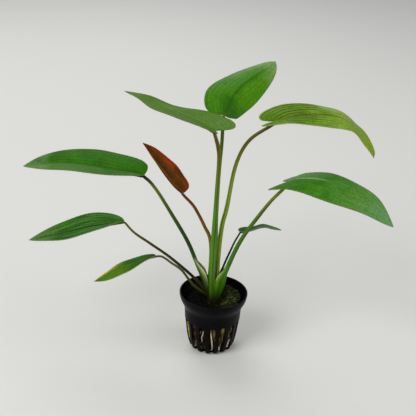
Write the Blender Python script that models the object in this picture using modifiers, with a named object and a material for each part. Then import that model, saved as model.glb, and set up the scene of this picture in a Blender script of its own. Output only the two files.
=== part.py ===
"""A potted echinodorus: nine leaves on long stalks, rooted in a slotted nursery pot.

The pot stands on the ground plane with its axis on Z, the front is -Y and +X is to the right.
Sizes below are in millimetres and degrees, and MM turns a size to metres when it is used.
"""

import math

import bmesh
import bpy
from mathutils import Matrix, Vector

MM = 0.001
TOUCH = 0.3  # clear space between two pieces that touch

# Pot: outside radius at each height, from the lip down to the edge of the flat base
POT_OUTSIDE = (
    (27.5, 50.0),
    (27.2, 47.0),
    (26.1, 43.6),
    (25.0, 41.4),
    (23.9, 39.4),
    (23.2, 37.0),
    (22.6, 29.0),
    (21.2, 18.0),
    (20.4, 11.6),
    (19.2, 6.0),
    (17.6, 1.6),
    (15.2, 0.0),
)
POT_WALL = 1.2
POT_SIDES = 48
SLOT_COUNT = 16
SLOT_TOP = 28.0
SLOT_INNER_RADIUS = 13.6
SLOT_SPAN = 13.0  # degrees of the circle that one slot takes
SLOT_CLEAR = 3.0  # how far a slot's cutter runs past the pot
SLOT_OFFSET = 1.7  # degrees from the front to the middle of the nearest slot

# Growing medium: a plug of rock wool that stands on the pot's floor
PLUG_OUTSIDE = (
    (6.2, 41.4),
    (9.5, 42.8),
    (13.5, 44.6),
    (20.0, 45.0),
    (22.4, 44.0),
    (22.2, 41.0),
    (21.6, 38.0),
    (21.0, 29.6),
    (18.4, 27.0),
    (17.8, 16.0),
    (16.6, 8.0),
    (14.6, 3.2),
    (12.6, 1.6),
)
PLUG_SIDES = 28
SEAT_RADIUS = 5.6
SEAT_HEIGHT = 37.6

# Crown: the short stem where all the leaf bases are grown together
CROWN_OUTSIDE = (
    (3.6, 54.6),
    (6.4, 53.8),
    (7.4, 52.0),
    (7.2, 49.0),
    (6.2, 45.0),
    (5.3, 41.6),
    (5.0, 38.2),
)
CROWN_WIDEST = 51.0  # the height that it swells to and narrows from
CROWN_SIDES = 20

STALK_STEPS = 14
BLADE_THICKNESS = 0.8
BLADE_ROWS = 14
BLADE_COLUMNS = 3  # on each side of the midrib
BLADE_CAMBER = 12.0  # degrees that each half curls from its midrib to its edge
EDGE_TURN = 0.42  # share of the way round an edge at which the blade is widest
BASE_SOFTNESS = 0.12  # share of the length over which the lobes at the base blend into the blade
WAIST_SPREAD = 0.09  # share of the length over which a pinched blade narrows and widens again
ROOT_STEPS = 9

# Leaves, named for their places. A stalk runs from the crown to its blade, and a blade's midrib from
# there to its tip. facing is the compass angle of the blade's upper face, from +X towards +Y. lobes are
# how far the base reaches back on its right and left, and widest is the share of the length where the
# blade is broadest. square and sinus shape the base's edge, taper and tip the rest of it, and waist is the
# share of the length at which it is pinched and how much of its width is lost there. Each half rises from
# the midrib by three tilts: at the stalk, half way and at the tip.
LEAVES = {
    "top": dict(
        stalk=((1, 5, 48), (0.9, 7.5, 66), (0, 9.5, 88), (-0.8, 11, 114), (-0.3, 14, 151), (1, 18, 176),
               (2, 22, 190)),
        stalk_radius=(1.9, 1.3),
        midrib=((2, 22, 193), (5, 29, 201), (13, 42, 209), (25, 58, 215), (41, 76, 221)),
        half_width=21.5, facing=71, lobes=(0, 4), right_tilt=(-74, -65, -40), left_tilt=(34, -1, 2),
        widest=0.32, square=2.25, sinus=(0.85, 0.72), taper=1.84, tip=0.64,
        color="3F8F12",
    ),
    "upper_left": dict(
        stalk=((-1.5, -4.3, 48), (-2.1, -4, 66), (-2.1, -3, 89), (-1.5, -3, 127), (-1, -3, 164),
               (-2, -4, 177), (-3.6, -5.8, 185), (-4.6, -8.2, 189.5)),
        stalk_radius=(2.4, 1.3),
        midrib=((-5.3, -10, 192.6), (-10.5, -6, 194), (-17, -1, 196), (-27, 6, 198), (-45, 17, 200),
                (-60, 27, 203), (-76, 36, 204)),
        half_width=22, facing=148, lobes=(11, 12), right_tilt=(20, -5, 3), left_tilt=(32, 15, 14),
        widest=0.21, square=2.5, sinus=(0.9, 1.1), taper=1.18, tip=0.86,
        color="5A8F3A",
    ),
    "upper_right": dict(
        stalk=((2.9, 0.8, 48), (2.3, 2, 81), (4, 3, 108), (7, 4, 124), (12, 6, 159), (21, 8, 179),
               (37, 9, 193)),
        stalk_radius=(2.0, 1.2),
        midrib=((41, 9, 196), (51, 10, 199), (68, 12, 201), (83, 13, 200), (93, 13, 197), (101.5, 13, 190.5),
                (109.5, 13, 181), (117, 12, 168.5)),
        half_width=18, facing=8, lobes=(17, 17), right_tilt=(22, -9, 3), left_tilt=(29, 10, 42),
        widest=0.22, square=2.15, sinus=(1.6, 1.6), taper=1.15, tip=0.32, waist=(0.7, 0.35),
        color="6B9A20",
    ),
    "left": dict(
        stalk=((-4.2, 0, 48), (-12, 0, 68), (-22, 1, 93), (-37, 2, 119), (-51, 4, 141), (-57, 5, 147)),
        stalk_radius=(1.9, 1.2),
        midrib=((-58, 5, 148), (-78, 7, 150), (-100, 9, 152), (-123, 11, 152), (-152, 13, 147)),
        half_width=20.5, facing=184, lobes=(5, 3), right_tilt=(27, 22, 37), left_tilt=(24, 12, 9),
        widest=0.35, square=2.3, sinus=(0.9, 0.9), taper=1.8, tip=0.85,
        color="3A8A1E",
    ),
    "lower_left": dict(
        stalk=((-2, 1, 43), (-13, 6, 55), (-35, 8, 74), (-53, 10, 86), (-65, 11, 94), (-73, 12, 103)),
        stalk_radius=(1.5, 0.9),
        midrib=((-74, 12, 104), (-89, 12, 100), (-107, 11, 96), (-125, 9, 91), (-149, 6, 86)),
        half_width=15, facing=190, lobes=(0.5, 0.5), right_tilt=(25, 27, 32), left_tilt=(35, 12, 8),
        widest=0.38, square=1.7, sinus=(1.2, 1.2), taper=1.6, tip=0.85,
        color="2A7A10",
    ),
    "bottom_left": dict(
        stalk=((-2, -1, 44), (-16, -4, 57), (-26, -7, 72), (-35, -9, 80), (-42, -10, 86), (-46, -11, 87)),
        stalk_radius=(1.2, 0.8),
        midrib=((-47, -11, 87), (-59, -14, 84), (-72, -18, 79), (-84, -22, 73), (-93, -25, 69)),
        half_width=10, facing=190, lobes=(1, 0.5), right_tilt=(-11, -2, 5), left_tilt=(29, 4, -12),
        widest=0.41, square=2.1, sinus=(0.95, 0.95), taper=1.8, tip=0.85,
        color="3C8A16",
    ),
    "red": dict(
        stalk=((-2.6, 4.4, 48), (-4, 9, 88), (-10, 10, 104), (-19, 12, 120), (-27, 13, 130)),
        stalk_radius=(1.6, 1.0),
        midrib=((-27, 13, 131), (-34, 15, 136), (-42, 16, 145), (-50, 18, 155), (-60, 20, 168)),
        half_width=13.5, facing=168, lobes=(3, 1.5), right_tilt=(34, 31, 29), left_tilt=(33, 31, 27),
        widest=0.35, square=2.1, sinus=(0.95, 0.95), taper=1.8, tip=0.85,
        color="6B3A10",
    ),
    "right": dict(
        stalk=((4.2, -2.8, 48), (7.5, -3.4, 60), (9.5, -4, 73), (19, -5, 100), (32, -7, 124), (42, -8, 140),
               (50, -9, 152)),
        stalk_radius=(2.3, 1.2),
        midrib=((51, -9, 154), (60, -13, 159), (75, -20, 162), (92, -28, 160), (110, -37, 153),
                (127, -45, 138)),
        half_width=20.5, facing=-31, lobes=(15, 14), right_tilt=(12, -19, -18), left_tilt=(4, -1, 16),
        widest=0.25, square=2.75, sinus=(0.99, 0.76), taper=1.72, tip=0.84,
        color="3F9020",
    ),
    "small_right": dict(
        stalk=((4.4, 3.8, 48), (6, 8, 65), (13, 11, 85), (18, 13, 97)),
        stalk_radius=(1.1, 0.7),
        midrib=((19, 13, 99), (27, 15, 100), (36, 17, 102), (44, 18, 101), (52, 19, 99)),
        half_width=7, facing=-5, lobes=(1, 2.5), right_tilt=(21, 29, 12), left_tilt=(12, -3, 10),
        widest=0.34, square=2.3, sinus=(0.95, 0.95), taper=1.9, tip=0.85,
        color="2F6A30",
    ),
}

# Roots that have grown out of the plug and lie behind the slots: compass angle, then each height with
# the distance from the pot's axis and a sideways shift in degrees
ROOTS = {
    "front": dict(
        angle=-89, radius=0.75,
        path=((26, 19.9, -1), (20, 19.5, -1), (12, 18.7, 1), (6, 17.5, 3), (3, 15.9, 0)),
    ),
    "front_left": dict(
        angle=-111, radius=0.65,
        path=((26, 19.9, 3), (21, 19.6, 1), (17, 19.2, -2), (12, 18.6, -2)),
    ),
    "front_right": dict(
        angle=-66, radius=0.7,
        path=((8, 17.8, -3), (5, 16.6, -1), (3, 15.6, 1)),
    ),
    "right": dict(
        angle=-43, radius=0.7,
        path=((13, 18.9, 3), (8, 18.1, 0), (4, 16.7, -3)),
    ),
}


def linear_color(hex_color):
    """An sRGB hex colour as the linear values that a shader takes."""
    values = [int(hex_color[i:i + 2], 16) / 255 for i in (0, 2, 4)]
    linear = [v / 12.92 if v <= 0.04045 else ((v + 0.055) / 1.055) ** 2.4 for v in values]
    return (*linear, 1.0)


def material(name, hex_color, roughness, metallic=0.0):
    made = bpy.data.materials.new(name)
    made.use_nodes = True
    shader = made.node_tree.nodes["Principled BSDF"]
    shader.inputs["Base Color"].default_value = linear_color(hex_color)
    shader.inputs["Roughness"].default_value = roughness
    shader.inputs["Metallic"].default_value = metallic
    return made


def add_object(name, data, collection, finish=None):
    made = bpy.data.objects.new(name, data)
    collection.objects.link(made)
    if finish:
        data.materials.append(finish)
    return made


def smooth_route(points, steps):
    """Evenly spaced points, in metres, along a smooth curve through the given ones."""
    knots = [Vector(p) * MM for p in points]
    knots = [2 * knots[0] - knots[1], *knots, 2 * knots[-1] - knots[-2]]
    fine = []
    for a, b, c, d in zip(knots, knots[1:], knots[2:], knots[3:]):
        for i in range(16):
            f = i / 16
            fine.append(0.5 * (2 * b + (c - a) * f + (2 * a - 5 * b + 4 * c - d) * f ** 2
                               + (3 * b - a - 3 * c + d) * f ** 3))
    fine.append(knots[-2])
    reach = [0.0]
    for start, end in zip(fine, fine[1:]):
        reach.append(reach[-1] + (end - start).length)
    route = []
    k = 0
    for i in range(steps + 1):
        wanted = reach[-1] * i / steps
        while k < len(fine) - 2 and reach[k + 1] < wanted:
            k += 1
        route.append(fine[k].lerp(fine[k + 1], (wanted - reach[k]) / (reach[k + 1] - reach[k])))
    return route, reach[-1]


def turned(name, profile, sides, collection, finish=None):
    """A turned shape: a profile of (radius, height) from the top down, swept round the Z axis."""
    form = bmesh.new()
    corners = [form.verts.new((radius * MM, 0, height * MM)) for radius, height in profile]
    for upper, lower in zip(corners, corners[1:]):
        form.edges.new((upper, lower))
    mesh = bpy.data.meshes.new(name)
    form.to_mesh(mesh)
    form.free()
    made = add_object(name, mesh, collection, finish)
    screw = made.modifiers.new("turn", "SCREW")
    screw.steps = sides
    screw.render_steps = sides
    screw.use_merge_vertices = True
    screw.merge_threshold = 0.00001
    screw.use_smooth_shade = True
    return made


def build_pot(parts, cutters):
    profile = (*POT_OUTSIDE, (0.0, 0.0))
    pot = turned("pot", profile, POT_SIDES, parts, material("pot_plastic", "1F1F23", 0.38))
    wall = pot.modifiers.new("wall", "SOLIDIFY")
    wall.thickness = POT_WALL * MM
    wall.offset = -1
    wall.use_even_offset = True

    form = bmesh.new()
    length = POT_OUTSIDE[0][0] + SLOT_CLEAR - SLOT_INNER_RADIUS
    height = SLOT_TOP + SLOT_CLEAR
    for k in range(SLOT_COUNT):
        angle = math.radians(-90 + SLOT_OFFSET + 360 / SLOT_COUNT * k)
        box = bmesh.ops.create_cube(form, size=1)["verts"]
        for corner in box:
            radius = SLOT_INNER_RADIUS + (corner.co.x + 0.5) * length
            half = radius * math.tan(math.radians(SLOT_SPAN / 2))
            corner.co = Vector((radius, corner.co.y * 2 * half, SLOT_TOP - (0.5 - corner.co.z) * height)) * MM
        bmesh.ops.rotate(form, verts=box, matrix=Matrix.Rotation(angle, 3, "Z"))
    mesh = bpy.data.meshes.new("slots")
    form.to_mesh(mesh)
    form.free()
    slots = add_object("slots", mesh, cutters)
    slots.hide_render = True
    slots.display_type = "WIRE"
    cut = pot.modifiers.new("slots", "BOOLEAN")
    cut.operation = "DIFFERENCE"
    cut.solver = "EXACT"
    cut.object = slots
    return pot


def build_plug(parts):
    top = ((0.0, SEAT_HEIGHT), (SEAT_RADIUS, SEAT_HEIGHT))
    bottom = ((0.0, PLUG_OUTSIDE[-1][1]),)
    return turned("growing_medium", top + PLUG_OUTSIDE + bottom, PLUG_SIDES, parts,
                  material("rock_wool", "3A3A16", 0.95))


def crown_profile(spare):
    """The crown's outline, grown by spare on every side."""
    outline = tuple((radius + spare, height + (spare if height > CROWN_WIDEST else -spare))
                    for radius, height in CROWN_OUTSIDE)
    return ((0.0, outline[0][1]), *outline, (0.0, outline[-1][1]))


def build_crown(parts, cutters):
    crown = turned("crown", crown_profile(0), CROWN_SIDES, parts, material("crown_tissue", "5E7A1C", 0.5))
    clearance = turned("crown_clearance", crown_profile(TOUCH), CROWN_SIDES, cutters)
    clearance.hide_render = True
    clearance.display_type = "WIRE"
    return crown, clearance


def round_tube(name, route, radii, collection, finish):
    """A solid round tube along a route, whose radius changes evenly from its start to its end."""
    curve = bpy.data.curves.new(name, "CURVE")
    curve.dimensions = "3D"
    curve.bevel_depth = MM
    curve.bevel_resolution = 2
    curve.use_fill_caps = True
    line = curve.splines.new("POLY")
    line.points.add(len(route) - 1)
    for i, (point, place) in enumerate(zip(line.points, route)):
        point.co = (*place, 1)
        point.radius = radii[0] + (radii[1] - radii[0]) * i / (len(route) - 1)
    drawn = add_object(name + "_line", curve, collection)
    graph = bpy.context.evaluated_depsgraph_get()
    mesh = bpy.data.meshes.new_from_object(drawn.evaluated_get(graph))
    mesh.name = name
    bpy.data.objects.remove(drawn)
    form = bmesh.new()
    form.from_mesh(mesh)
    bmesh.ops.remove_doubles(form, verts=form.verts, dist=0.00001)
    form.to_mesh(mesh)
    form.free()
    mesh.materials.clear()
    mesh.shade_smooth()
    return add_object(name, mesh, collection, finish)


def build_stalk(name, leaf, parts, clearance):
    route, _ = smooth_route(leaf["stalk"], STALK_STEPS)
    stalk = round_tube(name + "_stalk", route, leaf["stalk_radius"], parts,
                       material(name + "_stalk_skin", "5F8A1A", 0.4))
    cut = stalk.modifiers.new("crown", "BOOLEAN")
    cut.operation = "DIFFERENCE"
    cut.solver = "EXACT"
    cut.object = clearance
    return stalk


def edge_place(leaf, half, way, length):
    """How far along the midrib and how far out the edge of a half is. Half 0 is the right one, 1 the left."""
    if way <= EDGE_TURN:
        turn = math.pi / 2 * way / EDGE_TURN
        along = leaf["widest"] * length * (1 - math.cos(turn) ** (2 / leaf["square"]))
        along -= leaf["lobes"][half] * MM * math.sin(2 * turn)
        return along, leaf["half_width"] * MM * math.sin(turn) ** leaf["sinus"][half]
    share = math.sin(math.pi / 2 * (way - EDGE_TURN) / (1 - EDGE_TURN))
    width = max(0.0, 1 - share ** leaf["taper"]) ** leaf["tip"]
    along = leaf["widest"] + (1 - leaf["widest"]) * share
    waist, depth = leaf.get("waist", (0, 0))
    width *= 1 - depth * math.exp(-((along - waist) / WAIST_SPREAD) ** 2)
    return length * along, leaf["half_width"] * MM * width


def rib_place(leaf, route, share):
    """A place on the midrib, the way it heads there, and the ways to its right and up from the blade."""
    last = len(route) - 1
    k = min(int(share * last), last - 1)
    f = share * last - k
    behind = route[k + 1] - route[max(k - 1, 0)]
    ahead = route[min(k + 2, last)] - route[k]
    heading = behind.normalized().lerp(ahead.normalized(), f).normalized()
    facing = math.radians(leaf["facing"])
    side = Vector((math.sin(facing), -math.cos(facing), 0))
    side = (side - heading * side.dot(heading)).normalized()
    return route[k].lerp(route[k + 1], f), heading, side, side.cross(heading)


def blade_point(leaf, route, length, way, across):
    """A place on a blade, a share of the way to the tip and across from -1, left, to 1, right."""
    half = 0 if across > 0 else 1
    along, out = edge_place(leaf, half, way, length)
    if way < EDGE_TURN:
        rib_along = leaf["widest"] * length * (way / EDGE_TURN) ** 1.2
        along = rib_along + (along - rib_along) * abs(across)
    out *= abs(across)
    middle, heading, _, _ = rib_place(leaf, route, min(max(along / length, 0), 1))
    middle += heading * min(along, 0)
    share = min(0.5 * (along / length + math.hypot(along / length, BASE_SOFTNESS)), 1)
    _, _, side, above = rib_place(leaf, route, share)
    base, half_way, end = leaf["left_tilt"] if half else leaf["right_tilt"]
    tilt = (base * (1 - share) * (1 - 2 * share) + 4 * half_way * share * (1 - share)
            + end * share * (2 * share - 1))
    tilt = math.radians(tilt + BLADE_CAMBER * (0.5 - abs(across)))
    outward = side * (-math.cos(tilt) if half else math.cos(tilt)) + above * math.sin(tilt)
    return middle + outward * out


def build_blade(name, leaf, parts):
    route, length = smooth_route(leaf["midrib"], 60)
    form = bmesh.new()
    bmesh.ops.create_grid(form, x_segments=BLADE_ROWS, y_segments=2 * BLADE_COLUMNS, size=1)
    for corner in form.verts:
        corner.co = blade_point(leaf, route, length, (corner.co.x + 1) / 2, corner.co.y)
    bmesh.ops.remove_doubles(form, verts=form.verts, dist=0.00002)
    bmesh.ops.recalc_face_normals(form, faces=form.faces)
    mesh = bpy.data.meshes.new(name + "_blade")
    form.to_mesh(mesh)
    form.free()
    mesh.shade_smooth()
    blade = add_object(name + "_blade", mesh, parts, material(name + "_blade_skin", leaf["color"], 0.45))
    sheet = blade.modifiers.new("thickness", "SOLIDIFY")
    sheet.thickness = BLADE_THICKNESS * MM
    sheet.offset = 0
    return blade


def build_root(name, root, parts):
    places = []
    for height, radius, shift in root["path"]:
        angle = math.radians(root["angle"] + shift)
        places.append((radius * math.cos(angle), radius * math.sin(angle), height))
    route, _ = smooth_route(places, ROOT_STEPS)
    return round_tube("root_" + name, route, (root["radius"], root["radius"] * 0.8), parts,
                      material("root_" + name + "_skin", "D8C8B8", 0.5))


def main():
    for old in list(bpy.data.objects):
        bpy.data.objects.remove(old)
    parts = bpy.data.collections.new("potted_echinodorus")
    cutters = bpy.data.collections.new("cutters")
    for collection in (parts, cutters):
        bpy.context.scene.collection.children.link(collection)
    build_pot(parts, cutters)
    build_plug(parts)
    _, clearance = build_crown(parts, cutters)
    for name, leaf in LEAVES.items():
        build_stalk(name, leaf, parts, clearance)
        build_blade(name, leaf, parts)
    for name, root in ROOTS.items():
        build_root(name, root, parts)


main()
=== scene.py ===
# %% [markdown]
# # A potted sword plant
#
# This notebook dresses a small aquarium plant: nine leaves on long stalks, standing in the slotted black
# pot that it is grown and sold in. The measured solids of the plant are loaded first. Each piece that is
# made here then takes the place of one of those solids, with the surface, the veins and the colours that
# a solid made for measuring leaves out.

# %% Start from the measured solids
import math
import random

import bmesh
import bpy
from mathutils import Matrix, Vector, noise


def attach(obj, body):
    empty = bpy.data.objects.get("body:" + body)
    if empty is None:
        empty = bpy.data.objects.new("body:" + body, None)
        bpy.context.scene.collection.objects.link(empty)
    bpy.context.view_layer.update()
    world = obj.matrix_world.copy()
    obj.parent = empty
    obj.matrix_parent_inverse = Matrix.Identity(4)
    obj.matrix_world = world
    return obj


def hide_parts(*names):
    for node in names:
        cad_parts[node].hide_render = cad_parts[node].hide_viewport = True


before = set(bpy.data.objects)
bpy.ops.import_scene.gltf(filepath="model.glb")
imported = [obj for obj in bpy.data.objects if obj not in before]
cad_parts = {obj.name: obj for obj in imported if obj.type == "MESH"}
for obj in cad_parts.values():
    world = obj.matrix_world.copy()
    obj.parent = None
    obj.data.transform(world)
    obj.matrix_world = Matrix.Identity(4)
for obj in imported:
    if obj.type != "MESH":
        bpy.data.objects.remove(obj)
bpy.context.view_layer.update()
MM = 0.001
print("solids loaded:", len(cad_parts))

# %% [markdown]
# ## The camera
#
# The rim of the pot is a circle, so its picture gives the camera away. The ellipse is about half as tall
# as it is wide, which means that the camera looks down on it at 31 degrees, and the ellipse leans, which
# means that the camera was held 2.7 degrees off level. How fast the leaves shrink with distance says that
# it stood about three quarters of a metre away.

# %% Camera
PHOTO_SIZE = 416
RIM_CENTRE = Vector((0, 0, 50)) * MM
RIM_DISTANCE = 740 * MM
RIM_SCALE = 1.236 / MM  # pixels for each metre at the rim
LOOK_DOWN = math.radians(25.8)
ROLL = math.radians(2.7)
RIM_FROM_MIDDLE = (4.5 * MM, 67.4 * MM)  # how far right of the picture's middle the rim is, and below it
SENSOR_WIDTH = 36

forward = Vector((0, math.cos(LOOK_DOWN), -math.sin(LOOK_DOWN)))
level_right = Vector((1, 0, 0))
level_up = level_right.cross(forward)
camera_right = level_right * math.cos(ROLL) + level_up * math.sin(ROLL)
camera_up = camera_right.cross(forward)
eye = RIM_CENTRE - forward * RIM_DISTANCE - camera_right * RIM_FROM_MIDDLE[0] + camera_up * RIM_FROM_MIDDLE[1]

camera_data = bpy.data.cameras.new("camera")
camera_data.sensor_width = SENSOR_WIDTH
camera_data.lens = RIM_SCALE * RIM_DISTANCE / PHOTO_SIZE * SENSOR_WIDTH
camera_data.clip_start = 0.05
camera = bpy.data.objects.new("camera", camera_data)
axes = Matrix((camera_right, camera_up, -forward)).transposed()
camera.matrix_world = Matrix.Translation(eye) @ axes.to_4x4()
bpy.context.scene.collection.objects.link(camera)
bpy.context.scene.camera = camera
print("lens", round(camera_data.lens, 1), "mm, eye at", [round(v, 3) for v in eye])

# %% [markdown]
# ## Colours and nodes
#
# Colours are written as they look on a screen, so one function turns them into the linear values that a
# shader adds up light in. A second function adds one node to a material, sets it up and wires it.

# %% Two helpers for materials
def linear(hex_color):
    """An sRGB hex colour as the linear values that a shader takes."""
    values = [int(hex_color[i:i + 2], 16) / 255 for i in (0, 2, 4)]
    return (*[v / 12.92 if v <= 0.04045 else ((v + 0.055) / 1.055) ** 2.4 for v in values], 1.0)


def add_node(tree, kind, wires, stops=(), **settings):
    """Adds a node. wires gives each input a plain value, a hex colour or another node's output."""
    made = tree.nodes.new("ShaderNode" + kind)
    for name, value in settings.items():
        setattr(made, name, value)
    for place, value in wires.items():
        if isinstance(value, bpy.types.NodeSocket):
            tree.links.new(value, made.inputs[place])
        else:
            made.inputs[place].default_value = linear(value) if isinstance(value, str) else value
    for i, (position, hex_color) in enumerate(stops):
        stop = made.color_ramp.elements[i] if i < 2 else made.color_ramp.elements.new(position)
        stop.position = position
        stop.color = linear(hex_color)
    return made


def new_material(name):
    """A material with its shader and its node tree."""
    made = bpy.data.materials.new(name)
    made.use_nodes = True
    return made, made.node_tree, made.node_tree.nodes["Principled BSDF"]


# %% [markdown]
# ## The studio
#
# The floor is plain and pale and runs on past the top of the picture, so that nothing but the plant draws
# the eye. The light is soft: a large panel above and behind the plant gives the leaves their grey sheen,
# a second one from the front left fills in their colour, and the pale surroundings do the rest. Some of
# the grey sheen is painted into the colours of the leaves as painted sheen.

# %% Floor, surroundings and lights
floor_form = bmesh.new()
bmesh.ops.create_grid(floor_form, x_segments=2, y_segments=2, size=6)
floor_mesh = bpy.data.meshes.new("floor")
floor_form.to_mesh(floor_mesh)
floor_form.free()
floor = bpy.data.objects.new("floor", floor_mesh)
bpy.context.scene.collection.objects.link(floor)

# matt paper scatters light evenly, so the plant's shadow lies on it without a gleam
floor_paper, tree, shader = new_material("studio_paper")
shader.inputs["Base Color"].default_value = linear("D9D8D4")
shader.inputs["Roughness"].default_value = 0.9
floor_mesh.materials.append(floor_paper)

world = bpy.data.worlds.new("studio_surroundings")
world.use_nodes = True
world.node_tree.nodes["Background"].inputs["Color"].default_value = linear("EDF0F2")
world.node_tree.nodes["Background"].inputs["Strength"].default_value = 0.45
bpy.context.scene.world = world
bpy.context.scene.view_settings.view_transform = "Standard"


def add_panel(name, place, aim, size, watts):
    """A square panel of soft light that stands at a place and faces another one."""
    light = bpy.data.lights.new(name, "AREA")
    light.size = size
    light.energy = watts
    made = bpy.data.objects.new(name, light)
    made.location = place
    made.rotation_euler = (Vector(aim) - Vector(place)).to_track_quat("-Z", "Y").to_euler()
    bpy.context.scene.collection.objects.link(made)


PLANT_MIDDLE = (0, 0, 0.12)
add_panel("panel_behind", (-0.35, 0.9, 1.0), PLANT_MIDDLE, 0.9, 6)
add_panel("panel_front_left", (-0.8, -0.8, 1.1), PLANT_MIDDLE, 0.8, 13)
add_panel("panel_right", (1.2, -0.2, 0.7), PLANT_MIDDLE, 0.8, 5)

# %% [markdown]
# ## Smooth routes
#
# A stalk and the midrib of a leaf are drawn through a few measured points. A curve that passes through
# its own points keeps those measures true, and even steps along it keep the mesh even.

# %% A smooth curve through measured points
CURVE_POINTS = 16  # worked out between two measured points, before the even steps are taken


def smooth_route(points, steps):
    """Evenly spaced points, in metres, along a smooth curve through the given ones, and its length."""
    knots = [Vector(p) * MM for p in points]
    knots = [2 * knots[0] - knots[1], *knots, 2 * knots[-1] - knots[-2]]
    fine = []
    for a, b, c, d in zip(knots, knots[1:], knots[2:], knots[3:]):
        for i in range(CURVE_POINTS):
            f = i / CURVE_POINTS
            fine.append(0.5 * (2 * b + (c - a) * f + (2 * a - 5 * b + 4 * c - d) * f ** 2
                               + (3 * b - a - 3 * c + d) * f ** 3))
    fine.append(knots[-2])
    reach = [0.0]
    for start, end in zip(fine, fine[1:]):
        reach.append(reach[-1] + (end - start).length)
    route = []
    k = 0
    for i in range(steps + 1):
        wanted = reach[-1] * i / steps
        while k < len(fine) - 2 and reach[k + 1] < wanted:
            k += 1
        route.append(fine[k].lerp(fine[k + 1], (wanted - reach[k]) / (reach[k + 1] - reach[k])))
    return route, reach[-1]


def on_route(route, share):
    """The place at a share of a route, and the way that it heads there."""
    last = len(route) - 1
    k = min(int(share * last), last - 1)
    f = share * last - k
    behind = route[k + 1] - route[max(k - 1, 0)]
    ahead = route[min(k + 2, last)] - route[k]
    return route[k].lerp(route[k + 1], f), behind.normalized().lerp(ahead.normalized(), f).normalized()


def square_to(heading, way):
    """A way, bent so that it is square to a heading."""
    return (way - heading * heading.dot(way)).normalized()


def finish_piece(form, name, materials, node=None):
    """Turns a bmesh into an object that rides on the plant and stands for a solid of it."""
    mesh = bpy.data.meshes.new(name)
    form.to_mesh(mesh)
    form.free()
    mesh.shade_smooth()
    for finish in materials:
        mesh.materials.append(finish)
    piece = bpy.data.objects.new(name, mesh)
    bpy.context.scene.collection.objects.link(piece)
    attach(piece, "root")
    if node:
        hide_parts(node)
    return piece


# %% [markdown]
# ## How a leaf is measured
#
# Each leaf is a midrib, drawn through measured points from the stalk to the tip, with two halves that rise
# or fall from it like the covers of an open book. The edge of a half leaves the stalk, runs back round its
# lobe, reaches the full half width and closes at the tip. A few numbers draw that edge: the half width, how
# far back each lobe reaches, where the leaf is widest, how square its shoulders are, how closed the notch
# at the stalk is, and how the edge tapers and ends. Three tilts for each half, at the stalk, half way and
# at the tip, then fold and twist it.

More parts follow.
